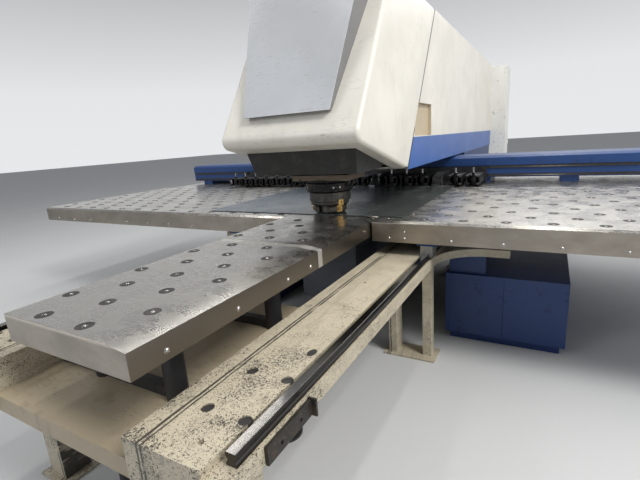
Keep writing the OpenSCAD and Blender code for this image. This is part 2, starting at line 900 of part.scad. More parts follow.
module beam_side_pads() {
    color("#34322f") at_tool() both_sides() {
        difference() {
            block([beam_outer, pad_front, ledge_z - band_h], [beam_outer + pad_t, pad_back, ledge_z - 6]);
            for (y = [pad_front + 64, pad_front + 164]) {
                translate([beam_outer + pad_t - 7, y, ledge_z - 36]) rotate([0, 90, 0]) cylinder(d = 12, h = 10);
            }
        }
        block([beam_outer, pad_back, ledge_z - band_h], [beam_outer + 30, pad_back + 8, ledge_z - 2]);
    }
}

middle_leg_y = -120;
end_legs_y = [280 - beam_front, beam_back - 350];

module beam_legs() {
    bottom = floor_foot;
    under = beam_top - beam_depth;
    x0 = beam_inner + 60;
    edge = leg_w + 30;
    color("#ddd6c2") at_tool() both_sides() {
        for (y = end_legs_y) {
            block([x0, y - leg_w, bottom], [x0 + 2 * leg_w, y + leg_w, under]);
            block([x0 - 40, y - edge, 0], [x0 + 40 + 2 * leg_w, y + edge, bottom]);
        }
        // The narrow leg at the table's front edge
        translate([0, middle_leg_y, 0]) {
            block([ledge_x - 2, -leg_w / 2, bottom], [ledge_x - 2 + leg_w, leg_w / 2, ledge_z - band_h]);
            block([x0, -leg_w, bottom], [x0 + leg_w, leg_w, under]);
            block([x0 - 30, -edge, 0], [ledge_x + edge, edge, bottom]);
        }
    }
}

module side_base() {
    color("#12306f") at_tool() difference() {
        union() {
            block([base_inner, base_front, 60], [base_outer, base_back, base_h]);
            block([base_inner + 30, base_front + 40, 0], [base_outer - 30, base_back - 30, 60]);
            // Console that carries the beam's gusset
            block([base_inner + 20, base_front + 30, base_h], [base_inner + 260, base_front + 60, ledge_z - band_h]);
        }
        // Joints between the cover sheets of the front and the side
        block([base_inner + 380, base_front - 1, 80], [base_inner + 384, base_front + 3, base_h - 20]);
        for (i = [1 : 3]) {
            y = base_front + i * (base_back - base_front) / 4;
            block([base_outer - 3, y, 80], [base_outer + 1, y + 4, base_h - 20]);
        }
    }
}

module side_bases() { both_sides() side_base(); }

// Centre strip and flap

function strip_section(inset) = [
    [-strip_left + inset, strip_bottom - (inset > 0 ? 1 : 0)],
    [-strip_left + inset, table_h - (inset > 0 ? deck_t : 0)],
    [strip_right - strip_bevel_w, table_h - (inset > 0 ? deck_t : 0)],
    [strip_right - inset, table_h - strip_bevel_drop - (inset > 0 ? deck_t : 0)],
    [strip_right - inset, strip_bottom - (inset > 0 ? 1 : 0)]
];

// Rows of rollers on the strip, alternately three and two across
housing_d = roller_d - 0.2;
ball_lip = sqrt(pow(ball_d / 2, 2) - pow(ball_d / 2 - ball_proud, 2));
strip_row0 = seam_y + 60;
row_three = [-210, 22, 265];
row_two = [-90, 145];
strip_rows = [for (i = [0 : floor((strip_front - strip_row0 - 40) / roller_pitch_y)]) i];
flap_rows = [for (i = [0 : floor((seam_y - 190 - 150) / roller_pitch_y)]) i];

module strip_places() {
    for (i = strip_rows, x = (i % 2 == 0 ? row_two : row_three)) {
        translate([x, -strip_row0 - i * roller_pitch_y]) children();
    }
}

module flap_places() {
    for (i = flap_rows, x = (i % 2 == 0 ? row_three : row_two)) {
        translate([x < 200 ? x : 245, -seam_y + 130 + i * roller_pitch_y]) children();
    }
}

module roller_seat() {
    translate([0, 0, deck_under - 1]) cylinder(d = roller_d, h = deck_t + 2, $fn = 48);
}

// Rollers: flush housings with a ball that stands proud.
// The first child draws the housings, the second the balls.
module rollers() {
    difference() {
        translate([0, 0, deck_under]) linear_extrude(deck_t + ball_proud) children(0);
        translate([0, 0, table_h]) linear_extrude(ball_proud + 1) difference() {
            square(2 * big, center = true);
            children(1);
        }
    }
}

module front_strip() {
    y0 = -strip_front;
    y1 = -seam_y - seam_gap / 2;
    color("#b9b6ae") at_tool() difference() {
        run_y(y0, y1) polygon(strip_section(0));
        run_y(y0 + skirt_t, y1 - skirt_t) polygon(strip_section(skirt_t));
        strip_places() roller_seat();
    }
}

post_x = [106 - strip_left, strip_right - 140];
post_y = [250 - strip_front, -seam_y - 220];

module strip_posts() {
    color("#2a2a2c") at_tool() {
        for (x = post_x, y = post_y) {
            translate([x, y, floor_foot]) cylinder(d = 80, h = strip_bottom - floor_foot);
            translate([x, y, 0]) cylinder(d = 180, h = floor_foot);
            translate([x, y, strip_bottom]) cylinder(d = 60, h = deck_under - strip_bottom);
        }
        // Ties to the rail beams on both sides
        for (y = post_y) {
            block([-beam_inner, y - 20, beam_top - 140], [beam_inner, y + 20, beam_top - 90]);
        }
    }
}

module strip_rollers() {
    color("#3b3b3d") at_tool() rollers() {
        strip_places() circle(housing_d / 2);
        strip_places() circle(ball_lip);
    }
}

hinge_y = lower_front - 12;
hinge_z = strip_bottom + 18;
flap_back = lower_front - 20;
bracket_r = lower_front - hinge_y - 0.5;
ear_t = 14;

module flap_ears() {
    for (x = [-strip_left + skirt_t, strip_right - skirt_t - ear_t]) {
        difference() {
            union() {
                block([x, flap_back - 60, hinge_z - hinge_d], [x + ear_t, hinge_y, hinge_z + hinge_d]);
                translate([x, hinge_y, hinge_z]) rotate([0, 90, 0]) cylinder(r = hinge_d, h = ear_t);
            }
            translate([x - 1, hinge_y, hinge_z]) rotate([0, 90, 0]) cylinder(d = hinge_d + 2 * run_gap, h = ear_t + 2);
        }
    }
}

module parts_flap() {
    y0 = -seam_y + seam_gap / 2;
    color("#aeaaa2") at_tool() {
        difference() {
            run_y(y0, flap_back) polygon(strip_section(0));
            run_y(y0 + skirt_t, flap_back + 1) polygon(strip_section(skirt_t));
            // Bevel along the front edge
            side_slab(-big / 2, big / 2) polygon([
                [y0 - 1, table_h + 1], [y0 + flap_bevel_w, table_h + 1], [y0 + flap_bevel_w, table_h],
                [y0, table_h - 12], [y0 - 1, table_h - 12]
            ]);
            flap_places() roller_seat();
        }
        flap_ears();
        // Bumper on the right skirt
        translate([strip_right, -330, table_h - 60]) rotate([0, 90, 0]) cylinder(d = 26, h = 9);
    }
}

module flap_rollers() {
    color("#3b3b3d") at_tool() rollers() {
        flap_places() circle(housing_d / 2);
        flap_places() circle(ball_lip);
    }
}

module flap_hinge_rod() {
    inset = skirt_t + 1;
    color("#9a9da1") at_tool() translate([-strip_left + inset, hinge_y, hinge_z]) rotate([0, 90, 0]) {
        cylinder(d = hinge_d, h = strip_left + strip_right - 2 * inset);
    }
}

module flap_brackets() {
    color("#3a3f4a") at_tool() for (x = [-150, 130]) difference() {
        union() {
            block([x, hinge_y, hinge_z - bracket_r], [x + 20, lower_front, hinge_z + bracket_r]);
            translate([x, hinge_y, hinge_z]) rotate([0, 90, 0]) cylinder(r = bracket_r, h = 20);
        }
        translate([x - 1, hinge_y, hinge_z]) rotate([0, 90, 0]) cylinder(d = hinge_d + 2 * run_gap, h = 22);
    }
}

// The fixed strip behind the flap: die plate in front, a lower chip deck behind
module rear_strip() {
    plate_end = 140;
    deck_z = table_h - 10;
    end = yoke_y - 700;
    color("#a9a59d") at_tool() difference() {
        side_slab(-strip_left, strip_right) polygon([
            [lower_front, lower_top], [lower_front, table_h], [plate_end, table_h],
            [plate_end, deck_z], [end, deck_z], [end, lower_top]
        ]);
        side_slab(-strip_left + skirt_t, strip_right - skirt_t) polygon([
            [lower_front + skirt_t, lower_top - 1], [lower_front + skirt_t, deck_z - 12],
            [end - skirt_t, deck_z - 12], [end - skirt_t, lower_top - 1]
        ]);
        translate([0, 0, lower_top - 1]) cylinder(r = adapter_r + seat, h = lower_drop + 2);
    }
}

// Bed: side tables, crossbeam and what carries them

module table_tray(inner, outer) {
    back = cross_back + 4;
    color("#b4b1a9") difference() {
        side_slab(inner, outer) polygon([
            [-table_front, skirt_bottom], [-table_front, table_h - bevel_drop],
            [-table_front + bevel_w, table_h], [deck_step_y, table_h], [deck_step_y, step_top],
            [back, step_top], [back, skirt_bottom]
        ]);
        side_slab(inner + skirt_t, outer - skirt_t) polygon([
            [-table_front + skirt_t, skirt_bottom - 1], [-table_front + skirt_t, deck_under],
            [back - skirt_t, deck_under], [back - skirt_t, skirt_bottom - 1]
        ]);
    }
}

table_rows = [for (i = [0 : floor((deck_step_y + table_front - 150) / roller_pitch_y)]) i];

// Staggered rollers of a side table whose inner edge is at inner
module table_places(inner) {
    for (i = table_rows) {
        shift = (i % 2) * roller_pitch_x / 2;
        n = floor((table_reach - inner - 160 - shift) / roller_pitch_x);
        for (j = [0 : n]) {
            translate([inner + 80 + shift + j * roller_pitch_x, -table_front + 90 + i * roller_pitch_y]) {
                children();
            }
        }
    }
}

module table_right() {
    at_tool() difference() {
        table_tray(right_inner, table_reach);
        table_places(right_inner) roller_seat();
    }
}

module table_left() {
    at_tool() difference() {
        mirror([1, 0, 0]) table_tray(left_inner, table_reach);
        mirror([1, 0, 0]) table_places(left_inner) roller_seat();
        // The inner front corner is cut back by a mitred bevel
        translate([-left_inner, -table_front, table_h]) rotate([0, 0, 45]) {
            translate([-63, -80, -bevel_drop]) rotate([0, -8, 0]) translate([63, 0, 0]) cube([80, 160, 60]);
        }
    }
}

module side_discs(r) {
    table_places(right_inner) circle(r);
    mirror([1, 0]) table_places(left_inner) circle(r);
}

module table_rollers() {
    color("#3b3b3d") at_tool() rollers() {
        side_discs(housing_d / 2);
        side_discs(ball_lip);
    }
}

// A low button-head screw whose axis points along -Y
module button_screw() {
    rotate([90, 0, 0]) rotate_extrude($fn = 24) polygon([
        [0, 0], [screw_d / 2, 0], [screw_d / 2 - 1, 3], [screw_d / 2 - 4, 6], [0, 7]
    ]);
}

first_screw_x = right_inner + 115;
second_screw_x = first_screw_x + 99;

module skirt_screws() {
    n = floor((table_reach - second_screw_x - 60) / screw_pitch);
    z = table_h - screw_drop;
    color("#c9c9c6") at_tool() both_sides() {
        for (i = [0 : n]) {
            translate([second_screw_x + i * screw_pitch, -table_front, z]) button_screw();
        }
        translate([first_screw_x, -table_front, z]) button_screw();
        translate([second_screw_x, -table_front, z + 42]) button_screw();
    }
}

// Carriers under a side table, from the rail to the outer edge
carrier_x = [for (i = [1 : 3]) between(rail_x, table_reach - 260, i / 3)];
carriage_h = 49;

module underframe() {
    carrier = rail_top + carriage_h;
    color("#1d3a80") at_tool() both_sides() {
        // Long carrier over the rail, and two more towards the outside
        block([rail_x - 60, -table_front + 30, carrier], [rail_x + 60, cross_back - 10, deck_under]);
        for (x = carrier_x) {
            block([x, -table_front + 30, skirt_bottom + 10], [x + 80, cross_back - 10, deck_under]);
        }
        // Cross members
        for (y = [420, 1180, cross_front + 60]) {
            block([rail_x - 200, y, skirt_bottom - 30], [table_reach - 60, y + 100, deck_under]);
        }
        // Blocks that carry the crossbeam through the step of the deck
        for (x = concat([rail_x], carrier_x)) {
            block([x - 60, cross_front + 20, step_top], [x + 100, cross_back - 20, cross_under]);
        }
    }
}

module carriage() {
    gap = 0.4;
    w = ledge_top_clear;
    run_y(-55, 55) difference() {
        translate([rail_x - w, rail_top - 20]) square([2 * w, 20 + carriage_h]);
        translate([rail_x - rail_w / 2 - gap, rail_top - 21]) square([rail_w + 2 * gap, 21 + gap]);
    }
}
ledge_top_clear = rail_x - ledge_x - 2;

module carriages() {
    color("#8f8f8c") at_tool() both_sides() for (y = [-150, 700, cross_front - 60]) {
        translate([0, y, 0]) carriage();
    }
}

module crossbeam() {
    body_top = cross_top - cross_cover_h;
    color("#22448f") at_tool() difference() {
        block([-table_reach, cross_front, cross_under], [table_reach, cross_back, body_top]);
        for (x = [-table_reach - 1, table_reach - 39]) {
            block([x, cross_front + 30, cross_under + 30], [x + 40, cross_back - 30, body_top - 30]);
        }
    }
}

module crossbeam_cover() {
    body_top = cross_top - cross_cover_h;
    color("#2d57b5") at_tool() side_slab(-table_reach + 10, table_reach - 10) polygon([
        [cross_front - 12, body_top - 10], [cross_front, body_top - 10], [cross_front, body_top],
        [cross_back, body_top], [cross_back, cross_top - 16], [cross_back - 60, cross_top],
        [cross_front + 40, cross_top], [cross_front - 12, cross_top - 22]
    ]);
}

x_rail_h = 15;
x_rail_z = [cross_under + 14, cross_under + 96];

module x_rails() {
    color("#9ea1a5") at_tool() for (z = x_rail_z) {
        side_slab(-table_reach + 40, table_reach - 40) translate([cross_front, z]) polygon([
            [0, 0], [-x_rail_h, 0], [-x_rail_h, 5], [-x_rail_h + 3, 8], [-x_rail_h + 3, 12],
            [-x_rail_h, 15], [-x_rail_h, 20], [0, 20]
        ]);
    }
}

// Slide, magazine, clamps and sheet

slide_right = stations * station_pitch - slide_left;
slide_front = cross_front - 78;
slide_top = table_h + 152;
clamp_stations = [8, 12, 16];
function station_x(i) = -slide_left + (i + 0.5) * station_pitch;
cassette_stations = [for (i = [0 : stations - 1]) if (len(search(i, clamp_stations)) == 0) i];

module slide_bar() {
    color("#1d1e21") at_tool() difference() {
        block([-slide_left, slide_front, slide_under + 8], [slide_right, cross_front - 0.5, slide_top]);
        for (z = x_rail_z) {
            block([-slide_left - 1, cross_front - x_rail_h - 0.4, z - 0.4],
                  [slide_right + 1, cross_front + 1, z + 20.4]);
        }
        // Pocket over each station for the latch
        for (i = cassette_stations) {
            block([station_x(i) - 30, slide_front - 1, slide_top - 28], [station_x(i) + 30, slide_front + 24, slide_top + 1]);
        }
    }
}

// A cassette: two plates with a mouth for the tool, joined by a back
module cassette() {
    w = cassette_w / 2;
    depth = slide_front - cassette_y;
    for (z = [0, 74]) {
        translate([0, 0, z]) linear_extrude(16) difference() {
            polygon([[-w, 16], [-w + 16, 0], [w - 16, 0], [w, 16], [w, depth], [-w, depth]]);
            translate([0, 78]) circle(40, $fn = 48);
            translate([-32, -1]) square([64, 79]);
        }
    }
    translate([-w, 150, 16]) cube([2 * w, depth - 150, 58]);
    translate([-w, 60, 16]) cube([12, 90, 58]);
    translate([w - 12, 60, 16]) cube([12, 90, 58]);
}

module tool_cassettes() {
    color("#17181a") at_tool() for (i = cassette_stations) {
        translate([station_x(i), cassette_y, table_h + 8]) cassette();
    }
}

module stored_tools() {
    color("#b7babd") at_tool() for (i = cassette_stations) {
        translate([station_x(i), cassette_y + 78, table_h + 8]) rotate_extrude($fn = 40) polygon([
            [0, 0], [39.7, 0], [39.7, 18], [30, 24], [30, 70], [39.7, 74], [39.7, 90], [17, 96],
            [17, 112], [9, 116], [9, 146], [13, 150], [13, 158], [0, 158]
        ]);
    }
}

pivot_y = clamp_y + 140;
pivot_z = table_h + 52;
pin_d = 14;

module clamp_bodies() {
    w = clamp_w / 2;
    color("#2c2d30") at_tool() for (i = clamp_stations) translate([station_x(i), 0, 0]) difference() {
        union() {
            side_slab(-w, w) polygon([
                [clamp_y, slide_under], [slide_front, slide_under], [slide_front, table_h + 120],
                [pivot_y + 60, table_h + 120], [pivot_y - 34, table_h + 78], [pivot_y - 34, sheet_under - seat],
                [clamp_y, sheet_under - seat]
            ]);
        }
        // Slot for the jaw
        block([-w + 16, sheet_back + 2, sheet_under - seat], [w - 16, pivot_y + 90, table_h + 121]);
        translate([-w - 1, pivot_y, pivot_z]) rotate([0, 90, 0]) cylinder(d = pin_d, h = 2 * w + 2);
    }
}

// Upper jaws, which share the form of a rocker on a pin
module clamp_jaw() {
    w = clamp_w / 2 - 16.5;
    difference() {
        side_slab(-w, w) polygon([
            [clamp_y, sheet_top + 0.2], [clamp_y + 60, sheet_top + 0.2], [clamp_y + 78, sheet_top + 8],
            [pivot_y + 40, pivot_z - 18], [pivot_y + 64, pivot_z - 6], [pivot_y + 64, pivot_z + 14],
            [pivot_y - 10, pivot_z + 24], [clamp_y + 10, sheet_top + 26], [clamp_y, sheet_top + 16]
        ]);
        translate([-w - 1, pivot_y, pivot_z]) rotate([0, 90, 0]) cylinder(d = pin_d + 2 * run_gap, h = 2 * w + 2);
    }
}

module placed_jaw(n) {
    color("#54565a") at_tool() translate([station_x(clamp_stations[n]), 0, 0]) clamp_jaw();
}

module clamp_jaw_1() { placed_jaw(0); }
module clamp_jaw_2() { placed_jaw(1); }
module clamp_jaw_3() { placed_jaw(2); }

module clamp_pins() {
    color("#8f9296") at_tool() for (i = clamp_stations) {
        translate([station_x(i) - clamp_w / 2, pivot_y, pivot_z]) rotate([0, 90, 0]) cylinder(d = pin_d, h = clamp_w);
    }
}

module sheet() {
    color("#3c4648") at_tool() difference() {
        block([-sheet_left, -sheet_front, sheet_under], [sheet_right, sheet_back, sheet_top]);
        translate([0, 0, sheet_under - 1]) cylinder(r = punch_d / 2 + die_gap, h = sheet_t + 2);
    }
}

// Switch cabinet

module cabinet() {
    top = table_h + cabinet_top_h;
    w = cabinet_half;
    color("#e4e3de") at_tool() {
        difference() {
            block([-w, cabinet_front, plinth_h], [w, cabinet_front + cabinet_depth, top]);
            block([-w + cabinet_wall, cabinet_front + cabinet_wall, plinth_h + cabinet_wall],
                  [w - cabinet_wall, cabinet_front + cabinet_depth + 1, top - cabinet_wall]);
        }
        block([-w + 20, cabinet_front + 20, 0], [w - 20, cabinet_front + cabinet_depth - 20, plinth_h]);
        // Mounting plate with its drive units
        block([-w + 60, cabinet_front + cabinet_wall, plinth_h + 90], [w - 60, cabinet_front + cabinet_wall + 12, top - 90]);
        for (x = [-w + 120 : 210 : w - 260], z = [table_h - 350, table_h + 350]) {
            block([x, cabinet_front + cabinet_wall + 12, z], [x + 150, cabinet_front + cabinet_wall + 190, z + 420]);
        }
    }
}

module cabinet_door() {
    top = table_h + cabinet_top_h;
    y = cabinet_front + cabinet_depth;
    color("#e8e7e2") at_tool() {
        difference() {
            block([1.5, y + seat, plinth_h + 6], [cabinet_half - 2, y + door_t, top - 6]);
            block([40, y, plinth_h + 60], [cabinet_half - 40, y + door_t - 3, top - 60]);
        }
        translate([60, y + door_t, table_h]) cube([24, handle_t, 150]);
        // Hinge knuckles on the outer edge
        for (z = [plinth_h + 200, table_h + 260, top - 260]) {
            translate([cabinet_half - 2, y + door_t, z]) cylinder(r = handle_t, h = 60);
        }
    }
}

module cabinet_door_right() { cabinet_door(); }
module cabinet_door_left() { mirror([1, 0, 0]) cabinet_door(); }

c_frame();
base_plate();
front_foot();
rear_base();
arm_cover();
arm_bands();
recess_panel();
head_cover();
panel_box();
head_panel();
head_skirt();
head_housing();
flange_plate();
index_housing();
head_screws();
head_hoses();
tool_holder();
holder_jaws();
stripper();
ram();
punch();
die_adapter();
die_holder();
die();
rail_beam_left();
rail_beam_right();
profile_rails();
beam_plugs();
beam_side_pads();
beam_legs();
side_bases();
front_strip();
strip_posts();
rear_strip();
strip_rollers();
parts_flap();
flap_rollers();
flap_hinge_rod();
flap_brackets();
table_left();
table_right();
table_rollers();
skirt_screws();
underframe();
carriages();
crossbeam();
crossbeam_cover();
x_rails();
slide_bar();
tool_cassettes();
stored_tools();
clamp_bodies();
clamp_pins();
clamp_jaw_1();
clamp_jaw_2();
clamp_jaw_3();
sheet();
cabinet();
cabinet_door_left();
cabinet_door_right();
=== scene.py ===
# %% [markdown]
# # A punch press for sheet metal
# This lesson dresses a machine that has already been modelled as exact solids. The solids are loaded
# as a fixed frame, so nothing has to be fitted: every piece that is made here goes where the frame is.
# A punch press carries a steel sheet on a ball table under one punching head. Its looks come from
# five finishes: scratched stainless steel, cream paint, dark oiled steel, ground steel and black plastic.

# %% Load the frame
import json
import math

import bmesh
import bpy
from mathutils import Matrix, Vector

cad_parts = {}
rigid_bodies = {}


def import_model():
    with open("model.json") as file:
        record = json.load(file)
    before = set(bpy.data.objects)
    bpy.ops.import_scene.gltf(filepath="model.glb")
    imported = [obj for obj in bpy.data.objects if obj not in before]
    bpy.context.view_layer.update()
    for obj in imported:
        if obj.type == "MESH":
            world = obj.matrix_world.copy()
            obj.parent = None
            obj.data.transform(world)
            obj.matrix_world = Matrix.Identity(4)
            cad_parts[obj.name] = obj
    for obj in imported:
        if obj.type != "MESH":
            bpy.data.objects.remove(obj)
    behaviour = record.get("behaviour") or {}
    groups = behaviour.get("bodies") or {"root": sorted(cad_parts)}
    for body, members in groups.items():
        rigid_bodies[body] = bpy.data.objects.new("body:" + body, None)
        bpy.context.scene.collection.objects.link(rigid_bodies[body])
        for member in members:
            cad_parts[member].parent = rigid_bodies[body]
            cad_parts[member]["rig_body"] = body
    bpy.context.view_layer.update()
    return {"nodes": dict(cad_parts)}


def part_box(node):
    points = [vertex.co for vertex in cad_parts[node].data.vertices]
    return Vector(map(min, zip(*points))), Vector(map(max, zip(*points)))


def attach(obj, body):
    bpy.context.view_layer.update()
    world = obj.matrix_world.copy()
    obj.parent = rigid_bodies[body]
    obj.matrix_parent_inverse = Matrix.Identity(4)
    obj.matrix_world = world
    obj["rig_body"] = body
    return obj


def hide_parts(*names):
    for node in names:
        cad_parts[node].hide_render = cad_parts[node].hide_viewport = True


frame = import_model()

scene = bpy.context.scene
nodes = frame["nodes"]

# %% [markdown]
# ## The camera
# A photographer stood at the right front corner, about 1.5 m above the floor, and looked slightly down
# and to the left with a wide lens. A camera can be turned by angles, but a camera that was worked out
# from straight edges of the machine is easier to give as its three directions: right, up and back.

# %% Camera
EYE = Vector((1.405, -4.23915, 1.47))
RIGHT = Vector((0.8772, 0.4759, -0.0640))
UP = Vector((-0.0602, 0.2411, 0.9687))
BACK = Vector((0.4764, -0.8459, 0.2401))
PICTURE_WIDTH = 640
FOCAL_PIXELS = 403.5
AXIS_PIXEL = 326

camera = bpy.data.objects.new("camera", bpy.data.cameras.new("camera"))
scene.collection.objects.link(camera)
scene.camera = camera
camera.data.sensor_width = 36
camera.data.lens = FOCAL_PIXELS * camera.data.sensor_width / PICTURE_WIDTH
camera.data.shift_x = (PICTURE_WIDTH / 2 - AXIS_PIXEL) / PICTURE_WIDTH
camera.data.clip_end = 200
camera.matrix_world = Matrix.Translation(EYE) @ Matrix((RIGHT, UP, BACK)).transposed().to_4x4()
print("camera lens", round(camera.data.lens, 2), "mm")

# %% [markdown]
# ## Shader maths in plain Python
# A procedural material is a sum: colour here, plus dirt there, minus a scratch. In the node editor that
# sum is a web of Math nodes. Here a small class wraps a socket, so that `1 - mask` or `a * b` adds the
# node for it. Colours go through Mix nodes instead, because a Math node would turn them grey.

# %% A value in a graph
class Value:
    """A number that varies over a surface or a direction. Python's operators on it add Math nodes."""

    def __init__(self, graph, socket):
        self.graph = graph
        self.socket = socket

    def maths(self, operation, *values):
        return self.graph.node("ShaderNodeMath", {"operation": operation}, dict(enumerate(values)))

    def __add__(self, other):
        return self.maths("ADD", self, other)

    def __sub__(self, other):
        return self.maths("SUBTRACT", self, other)

    def __rsub__(self, other):
        return self.maths("SUBTRACT", other, self)

    def __mul__(self, other):
        return self.maths("MULTIPLY", self, other)

    __radd__ = __add__
    __rmul__ = __mul__

    def size(self):
        return self.maths("ABSOLUTE", self)

    def wave(self):
        return self.maths("SINE", self)

    def highest(self, other):
        return self.maths("MAXIMUM", self, other)

    def between(self, low, high):
        """0 below low, 1 above high, and a soft step between them. Low may lie above high."""
        return self.graph.node(
            "ShaderNodeMapRange",
            {"interpolation_type": "SMOOTHSTEP"},
            {"Value": self, "From Min": low, "From Max": high},
        )


# %% [markdown]
# ## A graph of nodes
# A material is a graph of nodes, and so is the world. One method adds a node of any type: its settings
# come first, then the values or the links of its sockets.

# %% A graph
class Graph:
    """The nodes of one material or of the world."""

    def __init__(self, tree):
        self.tree = tree

    def put(self, socket, value):
        if isinstance(value, Value):
            self.tree.links.new(value.socket, socket)
        elif socket.type == "RGBA":
            socket.default_value = (*value, 1)
        else:
            socket.default_value = value

    def node(self, kind, settings=None, inputs=None, out=0):
        """Adds a node: its settings first, then the values or links of its sockets."""
        made = self.tree.nodes.new(kind)
        for name, value in (settings or {}).items():
            if name == "stops":
                self.set_stops(made.color_ramp.elements, value)
            else:
                setattr(made, name, value)
        for key, value in (inputs or {}).items():
            self.put(made.inputs[key], value)
        return Value(self, made.outputs[out])

    @staticmethod
    def set_stops(elements, stops):
        """Gives a colour ramp its stops, which are pairs of a position and a colour."""
        first, *between, last = stops
        for element, (position, colour) in zip(elements, (first, last)):
            element.position, element.color = position, (*colour, 1)
        for position, colour in between:
            elements.new(position).color = (*colour, 1)

    def parts(self, vector):
        split = self.node("ShaderNodeSeparateXYZ", {}, {0: vector}).socket.node
        return [Value(self, socket) for socket in split.outputs]

    def mix(self, a, b, share):
        return self.node("ShaderNodeMix", {"data_type": "RGBA"}, {0: share, 6: a, 7: b}, out=2)


# %% [markdown]
# ## A finish
# Paint, steel and plastic all start from the same shader. What is the same all over is set on the
# shader's own sockets. What varies is built from noise at the size of the real thing, in metres: mottled
# paint changes over half a metre, a smear over a hand's width, a scratch is a hair wide. The patterns
# read object coordinates, and because every piece's object sits at the origin, that is the machine's
# own frame: a pattern runs on from one plate to the next.

# %% A finish and its nodes
class Finish(Graph):
    """One material, with a maker's words for what it is built from."""

    def __init__(self, name, colour, rough, metal=0.0):
        self.name = name
        self.material = bpy.data.materials.new(name)
        self.material.use_nodes = True
        super().__init__(self.material.node_tree)
        self.shader = self.tree.nodes["Principled BSDF"]
        self.wear(Base_Color=colour, Roughness=rough, Metallic=metal)
        self.place = self.node("ShaderNodeTexCoord", out="Object")
        self.x, self.y, self.z = self.parts(self.place)

    def noise(self, size, stretch=(1, 1, 1), turn=0.0, detail=3.0, rough=0.55, seed=0.0):
        """Noise whose blots are about size metres across; stretch below 1 draws them out."""
        at = self.node(
            "ShaderNodeMapping",
            {},
            {
                "Vector": self.place, "Location": (seed, seed, seed), "Rotation": (0, 0, turn),
                "Scale": stretch,
            },
        )
        return self.node(
            "ShaderNodeTexNoise",
            {},
            {"Vector": at, "Scale": 1 / size, "Detail": detail, "Roughness": rough},
        )

    def relief(self, height, depth):
        """A bump of about depth metres, which feeds the shader's normal."""
        return self.node("ShaderNodeBump", {}, {"Height": height, "Distance": depth, "Strength": 1.0})

    def wear(self, **sockets):
        for name, value in sockets.items():
            self.put(self.shader.inputs[name.replace("_", " ")], value)
        return self


def shade(colour, by):
    return tuple(min(1.0, c * by) for c in colour)


# %% [markdown]
# ## Paint
# Powder paint on folded steel looks even from far away. Close by it is mottled, it has a fine orange
# peel, hairline scratches, and grey dirt that gathers where hands and oil reach it. The dirt and the
# scratches are masks between 0 and 1, mixed over the paint's colour one after another.

# %% Paint
def scratches(finish, size=0.0016, share=0.06, turns=(0.35, 1.2, 2.3), length=0.03):
    """Thin straight marks at a few angles."""
    marks = None
    for i, turn in enumerate(turns):
        lines = finish.noise(size, (length, 1, length), turn, detail=1.0, seed=3.1 * i)
        patch = finish.noise(0.35, seed=7.7 * i).between(0.5, 0.62)
        line = lines.between(0.71 - share, 0.74 - share) * patch
        marks = line if marks is None else marks.highest(line)
    return marks


def paint(name, colour, rough=0.38, dirt=0.25, dirt_colour=(0.16, 0.14, 0.12), metal=0.0):
    made = Finish(name, colour, rough, metal)
    clouds = made.noise(0.5, detail=5).between(0.3, 0.7)
    mottled = made.mix(shade(colour, 0.93), shade(colour, 1.05), clouds)
    smears = made.noise(0.16, (1, 1, 0.45), detail=7, rough=0.68, seed=5).between(0.52, 0.82)
    marks = scratches(made)
    coated = made.mix(mottled, dirt_colour, smears * dirt)
    coated = made.mix(coated, shade(colour, 0.5), marks * (0.4 + dirt))
    peel = made.noise(0.006, detail=1)
    made.coated = coated
    made.wear(
        Base_Color=coated,
        Roughness=made.noise(0.09, detail=5) * 0.16 + (rough - 0.08) + marks * 0.15,
        Normal=made.relief(peel - marks * 0.6, 0.00012),
    )
    return made


CREAM = (0.69, 0.665, 0.605)
cover_cream = paint("cover_cream", CREAM, 0.32, dirt=0.2)
arm_cream = paint("arm_cream", CREAM, 0.32, dirt=0.2)
panel_silver = paint("panel_silver", (0.50, 0.515, 0.54), 0.36, dirt=0.08, metal=0.25)
panel_grey = paint("panel_grey", (0.19, 0.19, 0.195), 0.5, dirt=0.2)
cabinet_white = paint("cabinet_white", (0.69, 0.69, 0.66), 0.4, dirt=0.12)
band_blue = paint("band_blue", (0.045, 0.115, 0.35), 0.36, dirt=0.18)
base_blue = paint("base_blue", (0.004, 0.027, 0.12), 0.4, dirt=0.3, dirt_colour=(0.07, 0.07, 0.08))
crossbeam_blue = paint(
    "crossbeam_blue", (0.01, 0.045, 0.165), 0.4, dirt=0.2, dirt_colour=(0.05, 0.05, 0.06)
)
# The bridge plate is the beam's cream made darker, partly for dirt and partly as painted shade for the
# shadow under the strip.
bridge_shaded_cream = paint("bridge_shaded_cream", (0.36, 0.30, 0.21), 0.5, dirt=0.6, dirt_colour=(0.07, 0.06, 0.05))
recess_beige = paint("recess_beige", (0.49, 0.41, 0.29), 0.45, dirt=0.25)
frame_grey = paint("frame_grey", (0.05, 0.056, 0.07), 0.45, dirt=0.25, dirt_colour=(0.16, 0.15, 0.14))
post_black = paint("post_black", (0.02, 0.02, 0.022), 0.45, dirt=0.25, dirt_colour=(0.12, 0.11, 0.1))
slide_black = paint("slide_black", (0.014, 0.014, 0.016), 0.38, dirt=0.2, dirt_colour=(0.1, 0.1, 0.1))
print("paints:", len(bpy.data.materials))
